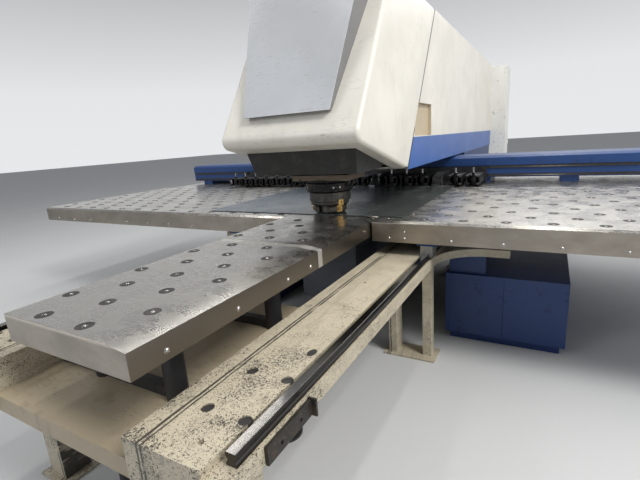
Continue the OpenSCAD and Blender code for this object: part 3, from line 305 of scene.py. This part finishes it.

# %% [markdown]
# ## Painted shade behind the head cover
# A dark band of painted shade runs on the arm cover along the rear edge of the head cover, for the
# shadow that the cover's edge casts there. That edge is a straight line that leans back, so the distance
# behind it is a sum of two coordinates. The arm's paint is dark up to 5 mm behind the edge and clean
# from 17 mm on.

# %% Seam of the arm cover
HEAD_FOOT_Y = -1.319
HEAD_FOOT_Z = 1.226
HEAD_LEAN = 0.6527
SEAM_SHADE = (0.045, 0.04, 0.035)
SEAM_END, SEAM_FULL = 0.017, 0.005
# Painted shade: the arm's paint darkens just behind the head cover's rear edge.
behind = arm_cream.y - HEAD_FOOT_Y - (arm_cream.z - HEAD_FOOT_Z) * HEAD_LEAN
seam = behind.between(SEAM_END, SEAM_FULL)
arm_cream.wear(Base_Color=arm_cream.mix(arm_cream.coated, SEAM_SHADE, seam))
print("seam of the arm cover: from z", HEAD_FOOT_Z, "m, leaning back", HEAD_LEAN, "m for each metre up")

# %% [markdown]
# ## Chipped cream paint on the rail beam
# The beam in front is the most worn piece. Its cream paint is speckled with black where chips flew off,
# most of all near its front end, streaked with grey along its length, and two ragged black lines run
# where the top plate is welded. The speckles are noise cut off near its top, and the cut moves with
# the distance along the beam, so the chips crowd at the front.

# %% Chipped paint
WELD_LINES = (0.4915, 0.5075)
CHIPS_FROM, CHIPS_FULL = -2.0, -3.6
BARE_BLACK = (0.028, 0.024, 0.02)


def chipped(name, colour):
    made = Finish(name, colour, 0.48)
    front = made.y.between(CHIPS_FROM, CHIPS_FULL)
    streaks = made.noise(0.05, (1, 0.12, 1), detail=6, rough=0.7).between(0.48, 0.78)
    clouds = made.noise(0.22, detail=7, rough=0.7, seed=2).between(0.45, 0.75)
    chips = made.noise(0.0075, detail=4, rough=0.7, seed=9)
    fine = made.noise(0.0035, (1, 0.7, 1), detail=2, seed=4)
    crowd = made.noise(0.13, detail=3, seed=11).between(0.42, 0.66)
    bare = (chips + crowd * 0.08 + front * 0.075).between(0.68, 0.71)
    specks = (fine + crowd * 0.07 + front * 0.075).between(0.685, 0.705)
    ragged = made.noise(0.03, (1, 0.2, 1), detail=5, rough=0.7, seed=6) - 0.5
    across = made.x.size() + ragged * 0.012
    welds = None
    for seam in WELD_LINES:
        broken = made.noise(0.05, (1, 0.25, 1), seed=8).between(0.34, 0.46)
        line = (across - seam).size().between(0.0058, 0.0028) * broken
        welds = line if welds is None else welds.highest(line)
    scuffs = scratches(made, 0.0022, 0.07, (0.1, 1.45, 1.7, 0.8), 0.05)
    coat = made.mix(colour, shade(colour, 0.66), clouds * 0.85)
    coat = made.mix(coat, (0.20, 0.17, 0.13), streaks * 0.6)
    coat = made.mix(coat, (0.30, 0.27, 0.23), scuffs * 0.7)
    coat = made.mix(coat, BARE_BLACK, bare.highest(specks).highest(welds) * 0.93)
    made.wear(
        Base_Color=coat,
        Roughness=clouds * 0.16 + 0.42 + bare * 0.15,
        Normal=made.relief(made.noise(0.012, detail=3) * 0.5 - bare.highest(welds), 0.0004),
    )
    return made


beam_cream = chipped("beam_cream", (0.50, 0.445, 0.335))

# %% [markdown]
# ## Scratched stainless steel
# Sheets slide over the table all day, so its steel decks are bright but scratched in every direction,
# and slightly wavy, so that lamps break up in them. A metal's colour is its reflection, so nearly all
# of the wear goes into roughness and bump: broad smears, fine brushing along the plate, crossed
# scratches, and a long shallow wave for the warped reflections. The skirts are the same steel, but no
# sheet slides on them: they are cleaner and duller. Their darker, browner colour is painted shade, faces
# that point along X are darker still as painted shade, and the bright line under the fold is a painted
# highlight.

# %% Steel
RIM_LOW, RIM_HIGH = 0.934, 0.946
OIL_BROWN = (0.2, 0.17, 0.13)


def steel(name, colour, rough, brushing=(0.03, 1, 1), smear=0.2, waviness=0.0006, marks_share=0.07,
          stain=0.2, shaded_flank=None, blotch=1.0):
    """Worn steel. Upright faces take a darker colour, a painted shade, cleaner and duller, with a painted
    highlight along the top edge.
    """
    made = Finish(name, colour, rough, 1.0)
    lines = made.noise(0.0022, brushing, detail=2)
    smears = made.noise(0.14, detail=6, rough=0.66, seed=2).between(0.38, 0.72) * blotch
    blots = made.noise(0.045, (1, 0.6, 1), detail=7, rough=0.72, seed=6).between(0.56, 0.76) * blotch
    marks = scratches(made, 0.0018, marks_share, (0.2, 0.9, 1.5, 2.4), 0.04) * blotch
    plate = made.mix(shade(colour, 0.86), shade(colour, 1.1), lines.between(0.25, 0.75))
    dull = smears * smear + lines * 0.1 + (rough - 0.1) + marks * 0.2
    soiled = (smears * 0.5 + blots * 0.5) * stain
    if shaded_flank:
        normal = made.node("ShaderNodeNewGeometry", out="Normal")
        along_x, _, up = made.parts(normal)
        # Painted shade: upright faces take the darker flank colour, and faces along X are darker still. A
        # painted highlight runs along the top edge.
        upright = up.size().between(0.85, 0.5)
        sideways_shade = along_x.size().between(0.5, 0.85)
        rim_highlight = made.z.between(RIM_LOW, RIM_HIGH) * upright
        cloudy = made.noise(0.2, (1, 1, 2), detail=4, seed=12).between(0.3, 0.7)
        side = made.mix(shade(shaded_flank, 0.84), shade(shaded_flank, 1.1), cloudy)
        side = made.mix(side, shade(shaded_flank, 0.55), sideways_shade)
        plate = made.mix(plate, made.mix(side, shade(shaded_flank, 1.75), rim_highlight), upright)
        soiled = soiled * (1 - upright * 0.85)
        dull = dull * (1 - upright * 0.6) + upright * 0.22 - rim_highlight * 0.1
    plate = made.mix(plate, OIL_BROWN, soiled)
    wave = made.noise(0.21, detail=1, seed=1) * waviness * 1000
    made.worn_colour = plate
    made.dull = dull
    made.wear(
        Base_Color=plate,
        Roughness=dull,
        Normal=made.relief(wave + lines * 0.008 - marks * 0.012, 0.001),
    )
    return made


# The skirts' flank colour is painted shade.
stainless = steel(
    "stainless", (0.56, 0.545, 0.515), 0.29, smear=0.14, waviness=0.003, marks_share=0.06, stain=0.22,
    shaded_flank=(0.36, 0.325, 0.28),
)
# The rail's dark colour and its near-black flanks are painted shade, standing for the dark hall that the
# rail reflects.
rail_steel = steel(
    "rail_steel", (0.22, 0.215, 0.21), 0.2, (1, 0.015, 1), waviness=0.0001, blotch=0.15,
    shaded_flank=(0.07, 0.065, 0.06),
)
tool_steel = steel("tool_steel", (0.55, 0.55, 0.55), 0.26, (1, 1, 0.05), smear=0.14, waviness=0)
pin_steel = steel("pin_steel", (0.5, 0.5, 0.5), 0.26, (1, 1, 0.05), smear=0.1, waviness=0)
screw_steel = steel("screw_steel", (0.48, 0.47, 0.45), 0.24, (1, 1, 1), smear=0.1, waviness=0, stain=0.25)
clamp_steel = steel("clamp_steel", (0.17, 0.175, 0.18), 0.36, (0.1, 1, 1), waviness=0, stain=0.3)
housing_steel = steel("housing_steel", (0.11, 0.115, 0.125), 0.4, (1, 1, 0.05), waviness=0, stain=0.3)
carriage_steel = steel("carriage_steel", (0.30, 0.30, 0.295), 0.38, (1, 0.05, 1), waviness=0, stain=0.3)

# %% [markdown]
# ## A painted highlight and bright pins
# The first 40 mm of the parts flap, behind its front edge, carry a painted highlight: a bright band
# across the deck and down the skirt, where the flap's front edge is bevelled. The stored tools are black
# below, and only the pin at their top is bright. Nothing else in these two finishes lies at those places,
# so each mask reads one coordinate.

# %% Painted highlight and pins
MITRE_Y = -2.5465
MITRE_OUTER, MITRE_INNER = 0.0235, 0.0215
MITRE_HIGHLIGHT = (0.66, 0.645, 0.62)
PIN_Z = 1.068
PIN_BLACK, PIN_BRIGHT = (0.03, 0.03, 0.032), (0.42, 0.42, 0.42)
# Painted highlight: a bright band 40 mm deep behind the flap's front edge.
mitre_highlight = (stainless.y - MITRE_Y).size().between(MITRE_OUTER, MITRE_INNER)
stainless.wear(
    Base_Color=stainless.mix(stainless.worn_colour, MITRE_HIGHLIGHT, mitre_highlight * 0.8),
    Roughness=stainless.dull + mitre_highlight * 0.22,
)
pin = pin_steel.z.between(PIN_Z, PIN_Z + 0.01)
pin_steel.wear(Base_Color=pin_steel.mix(PIN_BLACK, PIN_BRIGHT, pin))
print("steels:", len([m for m in bpy.data.materials if m.name.endswith("steel")]))

# %% [markdown]
# ## Oiled iron, bronze, rubber and plastic
# The punching head is dark cast and hardened steel under a film of oil and metal dust, with bronze
# jaws that shine where they slide. Oil darkens and glosses in drips, so its mask is stretched
# downwards. Rubber and plastic need only a fine grain and some dust in patches.

# %% Oiled iron and other dark finishes
def oiled(name, colour, rough=0.35, metal=0.85, bright=(0.36, 0.34, 0.31), rust=(0.14, 0.085, 0.05)):
    made = Finish(name, colour, rough, metal)
    drips = made.noise(0.02, (1, 1, 0.2), detail=5, rough=0.65).between(0.45, 0.7)
    worn = made.noise(0.012, detail=6, rough=0.7, seed=3).between(0.58, 0.68)
    stains = made.noise(0.05, detail=5, seed=8).between(0.5, 0.75)
    skin = made.mix(colour, rust, stains * 0.55)
    skin = made.mix(skin, bright, worn * 0.5)
    skin = made.mix(skin, shade(colour, 0.4), drips * 0.55)
    made.wear(
        Base_Color=skin,
        Roughness=rough + 0.18 - drips * 0.26,
        Normal=made.relief(made.noise(0.004, detail=3) * 0.6 + worn * 0.3, 0.0003),
    )
    return made


def plastic(name, colour, rough=0.6, grain=0.0025, dust=0.25):
    made = Finish(name, colour, rough)
    up = made.noise(0.07, detail=6, rough=0.7).between(0.42, 0.72)
    made.wear(
        Base_Color=made.mix(colour, (0.17, 0.16, 0.145), up * dust),
        Roughness=made.noise(0.03, detail=4) * 0.2 + (rough - 0.1),
        Normal=made.relief(made.noise(grain, detail=2), 0.0002),
    )
    return made


index_dark = oiled("index_dark", (0.022, 0.022, 0.024))
holder_dark = oiled("holder_dark", (0.075, 0.072, 0.066), 0.32)
flange_brown = oiled("flange_brown", (0.19, 0.155, 0.12), 0.42, 0.7)
jaw_bronze = oiled("jaw_bronze", (0.42, 0.27, 0.10), 0.3, 1.0, bright=(0.75, 0.58, 0.3))
pad_dark = oiled("pad_dark", (0.055, 0.05, 0.045), 0.4, 0.8)
skirt_black = plastic("skirt_black", (0.011, 0.011, 0.0115), 0.62, dust=0.12)
cassette_black = plastic("cassette_black", (0.008, 0.008, 0.009), 0.5, dust=0.1)
roller_dark = plastic("roller_dark", (0.025, 0.024, 0.024), 0.6, 0.0012, dust=0.3)
plug_dark = plastic("plug_dark", (0.018, 0.017, 0.016), 0.6, dust=0.2)
hose_black = plastic("hose_black", (0.009, 0.009, 0.0095), 0.45, dust=0.12)

# %% [markdown]
# ## The workpiece
# The sheet on the table is thin dark steel with a film of oil. It is already perforated: rows of small
# holes run across it at an even pitch. Thousands of real holes would be wasteful, so the rows are a
# pattern: a sine along each axis, cut off near its top, leaves a dot where both are high. Towards its
# left end the sheet is tinted blue, which is a painted reflection.

# %% Perforated sheet
REFLECTION_FROM, REFLECTION_FULL = 0.15, -0.75
REFLECTED_BLUE = (0.16, 0.215, 0.275)
HOLE_BLACK = (0.012, 0.013, 0.014)


def perforated(name, colour, pitch=0.0205, row=0.041):
    made = Finish(name, colour, 0.24, 0.6)
    along = (made.x * (2 * math.pi / pitch)).wave()
    rows = (made.y * (2 * math.pi / row)).wave()
    hole = (along + rows * 1.2).between(0.75, 1.15)
    clouds = made.noise(0.3, detail=5, seed=4).between(0.35, 0.7)
    # Painted reflection: the sheet turns bluish towards its left end.
    bluish_reflection = made.x.between(REFLECTION_FROM, REFLECTION_FULL)
    film = made.mix(shade(colour, 0.8), shade(colour, 1.2), clouds)
    film = made.mix(film, REFLECTED_BLUE, bluish_reflection * 0.75)
    made.wear(
        Base_Color=made.mix(film, HOLE_BLACK, hole * 0.95),
        Roughness=clouds * 0.12 + 0.17 + hole * 0.3,
        Normal=made.relief(made.noise(0.3, detail=1) * 1.6 - hole * 0.25, 0.001),
    )
    return made


sheet_steel = perforated("sheet_steel", (0.15, 0.175, 0.165))
print("finishes:", len(bpy.data.materials))

# %% [markdown]
# ## Softer edges on the solids
# A solid from CAD has knife edges and facets, and no real plate does: the thin highlight along a broken
# edge is what makes metal look like metal. The frame's own meshes stay as they are. A copy is merged
# into one skin, its flat faces are joined again, and its long sharp edges are bevelled by a millimetre
# or two. A modifier then weights the normals, so that large flat faces stay flat.

# %% Copies with soft edges
def merged(name):
    shape = bmesh.new()
    shape.from_mesh(nodes[name].data)
    bmesh.ops.remove_doubles(shape, verts=shape.verts, dist=2e-5)
    bmesh.ops.dissolve_limit(
        shape, angle_limit=math.radians(0.5), verts=shape.verts, edges=shape.edges,
        use_dissolve_boundaries=False,
    )
    return shape


def bevelled(shape, width, shortest=0.02, above=32.0, segments=2):
    least = math.radians(above)
    edges = [
        e for e in shape.edges
        if len(e.link_faces) == 2 and e.calc_length() > shortest and e.calc_face_angle() > least
    ]
    if edges and width:
        bmesh.ops.bevel(
            shape, geom=edges, offset=width, offset_type="OFFSET", segments=segments, profile=0.5,
            affect="EDGES", clamp_overlap=True, material=-1,
        )
    return len(edges)


def piece(name, shape, finish, body, stands_for=(), smooth=35.0):
    """Makes an object from a bmesh, smooth but for its sharp edges, and lets it ride on a body."""
    for face in shape.faces:
        face.smooth = True
    for edge in shape.edges:
        edge.smooth = len(edge.link_faces) == 2 and edge.calc_face_angle() < math.radians(smooth)
    mesh = bpy.data.meshes.new(name)
    shape.to_mesh(mesh)
    shape.free()
    mesh.materials.append(finish.material)
    made = bpy.data.objects.new(name, mesh)
    scene.collection.objects.link(made)
    weighted = made.modifiers.new("even normals", "WEIGHTED_NORMAL")
    weighted.keep_sharp = True
    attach(made, body)
    if stands_for:
        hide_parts(*stands_for)
    return made


def body_of(name):
    return nodes[name]["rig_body"]


def soften(name, finish, width=0.0015, shortest=0.02):
    shape = merged(name)
    count = bevelled(shape, width, shortest)
    made = piece(name + "_shape", shape, finish, body_of(name), (name,))
    print(f"{name}: {count} edges softened, {len(made.data.polygons)} faces")
    return made


# %% [markdown]
# ## Covers and panels
# The corners of the head cover are already round in the solid, so its copy is only smoothed. The arm
# cover and the cabinet get an edge of 3 mm. The plates beside them get the 1 to 2.5 mm that folding
# leaves.

# %% Covers
soften("head_cover", cover_cream, 0)
soften("arm_cover", arm_cream, 0.003, 0.1)
soften("arm_bands", band_blue, 0.001, 0.1)
soften("recess_panel", recess_beige, 0.002, 0.1)
soften("head_panel", panel_silver, 0.0025)
soften("panel_box", panel_grey, 0.002)
soften("head_skirt", skirt_black, 0.0015, 0.1)
soften("rear_base", base_blue, 0.002, 0.1)
soften("cabinet", cabinet_white, 0.003, 0.1)
soften("cabinet_door_left", cabinet_white, 0.002, 0.03)
soften("cabinet_door_right", cabinet_white, 0.002, 0.03)

# %% [markdown]
# ## Table and beams
# The decks of the table are folded stainless plate with welded corners, ground bright. The beams below
# are thick plate, so their edges are broader and chipped.

# %% Table and beams
for name in ("table_left", "table_right", "front_strip", "parts_flap"):
    soften(name, stainless, 0.0018, 0.03)
soften("rear_strip", stainless, 0.0012, 0.1)
soften("rail_beam_left", beam_cream, 0.003, 0.06)
soften("rail_beam_right", beam_cream, 0.003, 0.06)
soften("beam_legs", beam_cream, 0.002, 0.03)
soften("profile_rails", rail_steel, 0.0006, 0.03)
soften("beam_side_pads", pad_dark, 0.001, 0.01)
soften("side_bases", base_blue, 0.004, 0.1)
soften("crossbeam", crossbeam_blue, 0.003, 0.1)
soften("crossbeam_cover", crossbeam_blue, 0.004, 0.1)
soften("x_rails", rail_steel, 0.0006, 0.1)
soften("underframe", crossbeam_blue, 0.002, 0.1)
soften("carriages", carriage_steel, 0.0015, 0.03)
soften("strip_posts", post_black, 0.0015, 0.03)

# %% [markdown]
# ## The plate between the beams
# Under the centre strip a folded plate ties the two beams. The solids lack it, so it is made here: a flat
# web and two flanges that turn down, as three boxes in one mesh.

# %% Bridge plate
BRIDGE_TOP = 0.600
BRIDGE_SHEET = 0.012
BRIDGE_FLANGE = 0.07
BRIDGE_FRONT = -3.672
BRIDGE_BACK = -2.545


def box_shape(shape, low, high):
    """Adds a box to a bmesh."""
    made = bmesh.ops.create_cube(shape, size=1)["verts"]
    middle = [(a + b) / 2 for a, b in zip(low, high)]
    size = [b - a for a, b in zip(low, high)]
    bmesh.ops.scale(shape, vec=size, verts=made)
    bmesh.ops.translate(shape, vec=middle, verts=made)


beam_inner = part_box("rail_beam_right")[0].x - 0.0005
shape = bmesh.new()
deck_low = (-beam_inner, BRIDGE_FRONT, BRIDGE_TOP - BRIDGE_SHEET)
box_shape(shape, deck_low, (beam_inner, BRIDGE_BACK, BRIDGE_TOP))
for y in (BRIDGE_FRONT, BRIDGE_BACK - BRIDGE_SHEET):
    low = (-beam_inner, y, BRIDGE_TOP - BRIDGE_FLANGE)
    box_shape(shape, low, (beam_inner, y + BRIDGE_SHEET, BRIDGE_TOP - BRIDGE_SHEET))
piece("bridge_plate", shape, bridge_shaded_cream, "frame")
print("bridge plate between the beams:", round(2 * beam_inner, 3), "m wide")

# %% [markdown]
# ## Magazine and clamps
# The black bar on the crossbeam carries a row of cassettes. In each one hangs a tool with a bright pin
# that stands up, and between them sit the clamps that hold the sheet.

# %% Magazine
soften("slide_bar", slide_black, 0.002, 0.03)
soften("tool_cassettes", cassette_black, 0.0015, 0.012)
soften("stored_tools", pin_steel, 0)
soften("clamp_bodies", clamp_steel, 0.002, 0.012)
soften("clamp_pins", screw_steel, 0)
for number in (1, 2, 3):
    soften(f"clamp_jaw_{number}", clamp_steel, 0.0015, 0.012)

# %% [markdown]
# ## The punching head
# The head is turned and milled. Its plate, index housing, holder, jaws and screws get small bevels, and
# the turned parts and the hoses are only smoothed. The holder carries bronze jaws, and the ram, the
# punch and the stripper show in the windows between them.

# %% Punching head and die
soften("head_housing", housing_steel, 0)
soften("flange_plate", flange_brown, 0.002, 0.03)
soften("index_housing", index_dark, 0.0015, 0.012)
soften("tool_holder", holder_dark, 0.0012, 0.012)
soften("holder_jaws", jaw_bronze, 0.0012, 0.01)
soften("head_hoses", hose_black, 0)
for name in ("stripper", "ram", "punch", "die_adapter", "die_holder", "die"):
    soften(name, tool_steel, 0)
soften("head_screws", screw_steel, 0.0008, 0.001)

# %% [markdown]
# ## Nodes that stay
# A few solids are right as they are: hidden structure, rods and the thin sheet. They only get their
# finish, straight on the frame's own object.

# %% Finishes on the frame's own objects
KEPT = {
    "c_frame": frame_grey, "base_plate": frame_grey, "front_foot": frame_grey, "flap_brackets": frame_grey,
    "flap_hinge_rod": tool_steel, "sheet": sheet_steel,
}
for name, finish in KEPT.items():
    nodes[name].data.materials.clear()
    nodes[name].data.materials.append(finish.material)

# %% [markdown]
# ## Where the small parts sit
# The frame already has every roller and skirt screw as a plain solid. Their places are read back from
# it: the merged mesh falls apart into islands, and the box round each island gives its middle.

# %% Islands of a node
def islands(name):
    """The lowest and highest corner of each separate solid in a node."""
    shape = bmesh.new()
    shape.from_mesh(nodes[name].data)
    bmesh.ops.remove_doubles(shape, verts=shape.verts, dist=2e-5)
    left = set(shape.verts)
    boxes = []
    while left:
        todo = [left.pop()]
        corners = []
        while todo:
            vert = todo.pop()
            corners.append(vert.co.copy())
            for edge in vert.link_edges:
                other = edge.other_vert(vert)
                if other in left:
                    left.discard(other)
                    todo.append(other)
        low = Vector(min(c[i] for c in corners) for i in range(3))
        high = Vector(max(c[i] for c in corners) for i in range(3))
        boxes.append((low, high))
    shape.free()
    return sorted(boxes, key=lambda box: tuple(round(v, 4) for v in box[0]))


def turned(profile, steps, arc=2 * math.pi):
    """A shape of revolution round Z: a line of (radius, height) points, spun."""
    shape = bmesh.new()
    line = [shape.verts.new((radius, 0, height)) for radius, height in profile]
    edges = [shape.edges.new(pair) for pair in zip(line, line[1:])]
    bmesh.ops.spin(
        shape, geom=line + edges, cent=(0, 0, 0), axis=(0, 0, 1), angle=arc, steps=steps, use_merge=True
    )
    bmesh.ops.remove_doubles(shape, verts=shape.verts, dist=1e-6)
    bmesh.ops.recalc_face_normals(shape, faces=shape.faces)
    return shape


def repeated(shape, places):
    """One bmesh with a copy of shape at each place, which is a matrix."""
    pattern = bpy.data.meshes.new("pattern")
    shape.to_mesh(pattern)
    shape.free()
    whole = bmesh.new()
    for place in places:
        start = len(whole.verts)
        whole.from_mesh(pattern)
        whole.verts.ensure_lookup_table()
        bmesh.ops.transform(whole, matrix=place, verts=whole.verts[start:])
    bpy.data.meshes.remove(pattern)
    return whole


# %% [markdown]
# ## Ball rollers
# Each roller is a dark plastic seat, flush with the deck, with a bright steel ball in the middle. Both
# are turned shapes. There are hundreds of them, so each is spun in few steps, and the seats of one
# node are one piece, as are its balls.

# %% Rollers
TABLE_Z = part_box("table_left")[1].z
SEAT_R = 0.0299
BALL_R = 0.013
BALL_PROUD = 0.003


def roller_seat():
    return turned(
        [(SEAT_R, -0.006), (SEAT_R, 0.0002), (SEAT_R - 0.0022, 0.0011), (SEAT_R - 0.0045, 0.0002),
         (SEAT_R - 0.0075, -0.0008), (0.0145, -0.0002), (0.0118, 0.0006), (0.0105, -0.0015)],
        20,
    )


def roller_ball():
    middle = BALL_PROUD - BALL_R
    lowest = math.radians(48)
    arc = [lowest * i / 4 for i in range(5)]
    return turned([(BALL_R * math.sin(a), middle + BALL_R * math.cos(a)) for a in reversed(arc)], 14)


for name in ("table_rollers", "strip_rollers", "flap_rollers"):
    places = []
    for low, high in islands(name):
        places.append(Matrix.Translation(((low.x + high.x) / 2, (low.y + high.y) / 2, high.z - BALL_PROUD)))
    body = body_of(name)
    seats = piece(name + "_seats", repeated(roller_seat(), places), roller_dark, body, stands_for=(name,))
    piece(name + "_balls", repeated(roller_ball(), places), screw_steel, body)
    print(name, len(places), "rollers,", len(seats.data.polygons), "faces in the seats")

# %% [markdown]
# ## Screws in the skirts
# Button-head screws hold the skirts. Such a head is a low dome with a socket. The dome, a round cup
# sunk in its top and a thin washer under it are one line, spun in 12 steps. The screws in the sides of
# the centre strip are not in the solids, so their places are given here.

# %% Button screws
def button_screw(radius=0.0085, height=0.0065):
    return turned(
        [(radius * 1.25, 0), (radius * 1.25, 0.001), (radius, 0.0012), (radius * 0.96, height * 0.35),
         (radius * 0.8, height * 0.72), (radius * 0.55, height), (radius * 0.42, height),
         (radius * 0.40, height * 0.4), (0, height * 0.3)],
        12,
    )


FACING_FRONT = Matrix.Rotation(math.radians(90), 4, "X")
STRIP_SCREWS_Y = (-3.508, -3.176, -2.840, -2.643)
STRIP_SCREW_DROP = 0.073

front_screws = []
for low, high in islands("skirt_screws"):
    middle = (low + high) / 2
    front_screws.append(Matrix.Translation((middle.x, high.y, middle.z)) @ FACING_FRONT)
heads = repeated(button_screw(), front_screws)
piece("skirt_screw_heads", heads, screw_steel, "bed", stands_for=("skirt_screws",))

strip_low, strip_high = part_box("front_strip")
strip_screws = []
for y in STRIP_SCREWS_Y:
    for side, turn in ((strip_high.x, 1), (strip_low.x, -1)):
        place = Matrix.Translation((side, y, TABLE_Z - STRIP_SCREW_DROP))
        strip_screws.append(place @ Matrix.Rotation(math.radians(90 * turn), 4, "Y"))
piece("strip_screw_heads", repeated(button_screw(0.009, 0.006), strip_screws), screw_steel, "frame")
print(len(front_screws), "screws in the skirts of the table,", len(strip_screws), "in the strip's")

# %% [markdown]
# ## Plugs of the beam
# Round and oval rubber caps close the bolt holes in the beam's top plate, and they sit a little below it.

# %% Plugs
soften("beam_plugs", plug_dark, 0.0008, 0.001)

# %% [markdown]
# ## Floor and light
# The floor is plain and pale. The sky is pale towards the horizon and dimmer overhead, as in a hall:
# bright metal needs something to reflect. What the eye and a mirror see is this sky. What falls on
# paint from it is one even grey, so that the lamps give the forms their shade.

# %% Stage
floor_finish = Finish("floor_pale", (0.56, 0.57, 0.58), 0.75)
floor_finish.wear(
    Base_Color=floor_finish.mix((0.53, 0.54, 0.55), (0.58, 0.585, 0.59), floor_finish.noise(1.5, detail=4))
)
shape = bmesh.new()
bmesh.ops.create_grid(shape, x_segments=1, y_segments=1, size=60)
bmesh.ops.translate(shape, vec=(0, 0, -0.001), verts=shape.verts)
floor_mesh = bpy.data.meshes.new("floor")
shape.to_mesh(floor_mesh)
shape.free()
floor_mesh.materials.append(floor_finish.material)
floor = bpy.data.objects.new("floor", floor_mesh)
scene.collection.objects.link(floor)

# %% [markdown]
# ## The hall as a sky
# The world is a graph of nodes too. A ramp over how far a ray points up gives the sky. Light Path tells
# what kind of ray asks: the camera, a mirror and glass get the sky, and all other rays the even grey.
# The Standard view transform shows the colours as they are rendered.

# %% World
HALL = (
    (0.0, (0.80, 0.81, 0.82)), (0.12, (0.78, 0.7878, 0.8034)), (0.34, (0.46, 0.4646, 0.4738)),
    (0.6, (0.24, 0.2424, 0.2472)), (1.0, (0.16, 0.17, 0.18)),
)
EVEN_GREY = (0.33, 0.34, 0.355)

scene.view_settings.view_transform = "Standard"
world = bpy.data.worlds.new("hall")
world.use_nodes = True
scene.world = world
sky = Graph(world.node_tree)
_, _, height = sky.parts(sky.node("ShaderNodeTexCoord", out="Generated"))
hall = sky.node("ShaderNodeValToRGB", {"stops": HALL}, {0: height})
seen, mirrored, through = (
    sky.node("ShaderNodeLightPath", out=f"Is {kind} Ray") for kind in ("Camera", "Glossy", "Transmission")
)
background = world.node_tree.nodes["Background"]
sky.put(background.inputs["Color"], sky.mix(EVEN_GREY, hall, seen.highest(mirrored).highest(through)))
sky.put(background.inputs["Strength"], 1.0)
print("sky stops:", len(HALL))

# %% [markdown]
# ## Lamps
# The key hangs high on the right, towards the front. Weaker lamps stand in the left front, on the right
# and behind, and four long tubes hang overhead, which draw long streaks in brushed steel.

# %% Lamps
def lamp(name, place, target, size, power, colour=(1, 1, 1), size_y=None):
    light = bpy.data.lights.new(name, "AREA")
    light.shape = "RECTANGLE"
    light.size = size
    light.size_y = size_y or size
    light.energy = power
    light.color = colour
    made = bpy.data.objects.new(name, light)
    scene.collection.objects.link(made)
    made.location = place
    made.rotation_euler = (Vector(target) - Vector(place)).to_track_quat("-Z", "Y").to_euler()
    return made


lamp("key", (7.0, -4.2, 8.0), (0, -1.2, 0.9), 3.0, 660, (1.0, 0.985, 0.955))
lamp("fill", (-4, -9.5, 5.5), (0, -1, 1), 4, 185, (0.93, 0.96, 1.0))
lamp("side", (9, -2.5, 4.5), (0, -1.5, 1), 4, 180, (1.0, 0.99, 0.97))
lamp("rear", (2, 9, 7.5), (0, 1, 1), 5, 230, (1.0, 0.99, 0.97))
for i, x in enumerate((-4.2, -1.4, 1.4, 4.2)):
    lamp(f"hall_lamp_{i}", (x, 0.5, 6.2), (x, 0.5, 0), 0.3, 95, (1.0, 0.97, 0.92), 9.0)
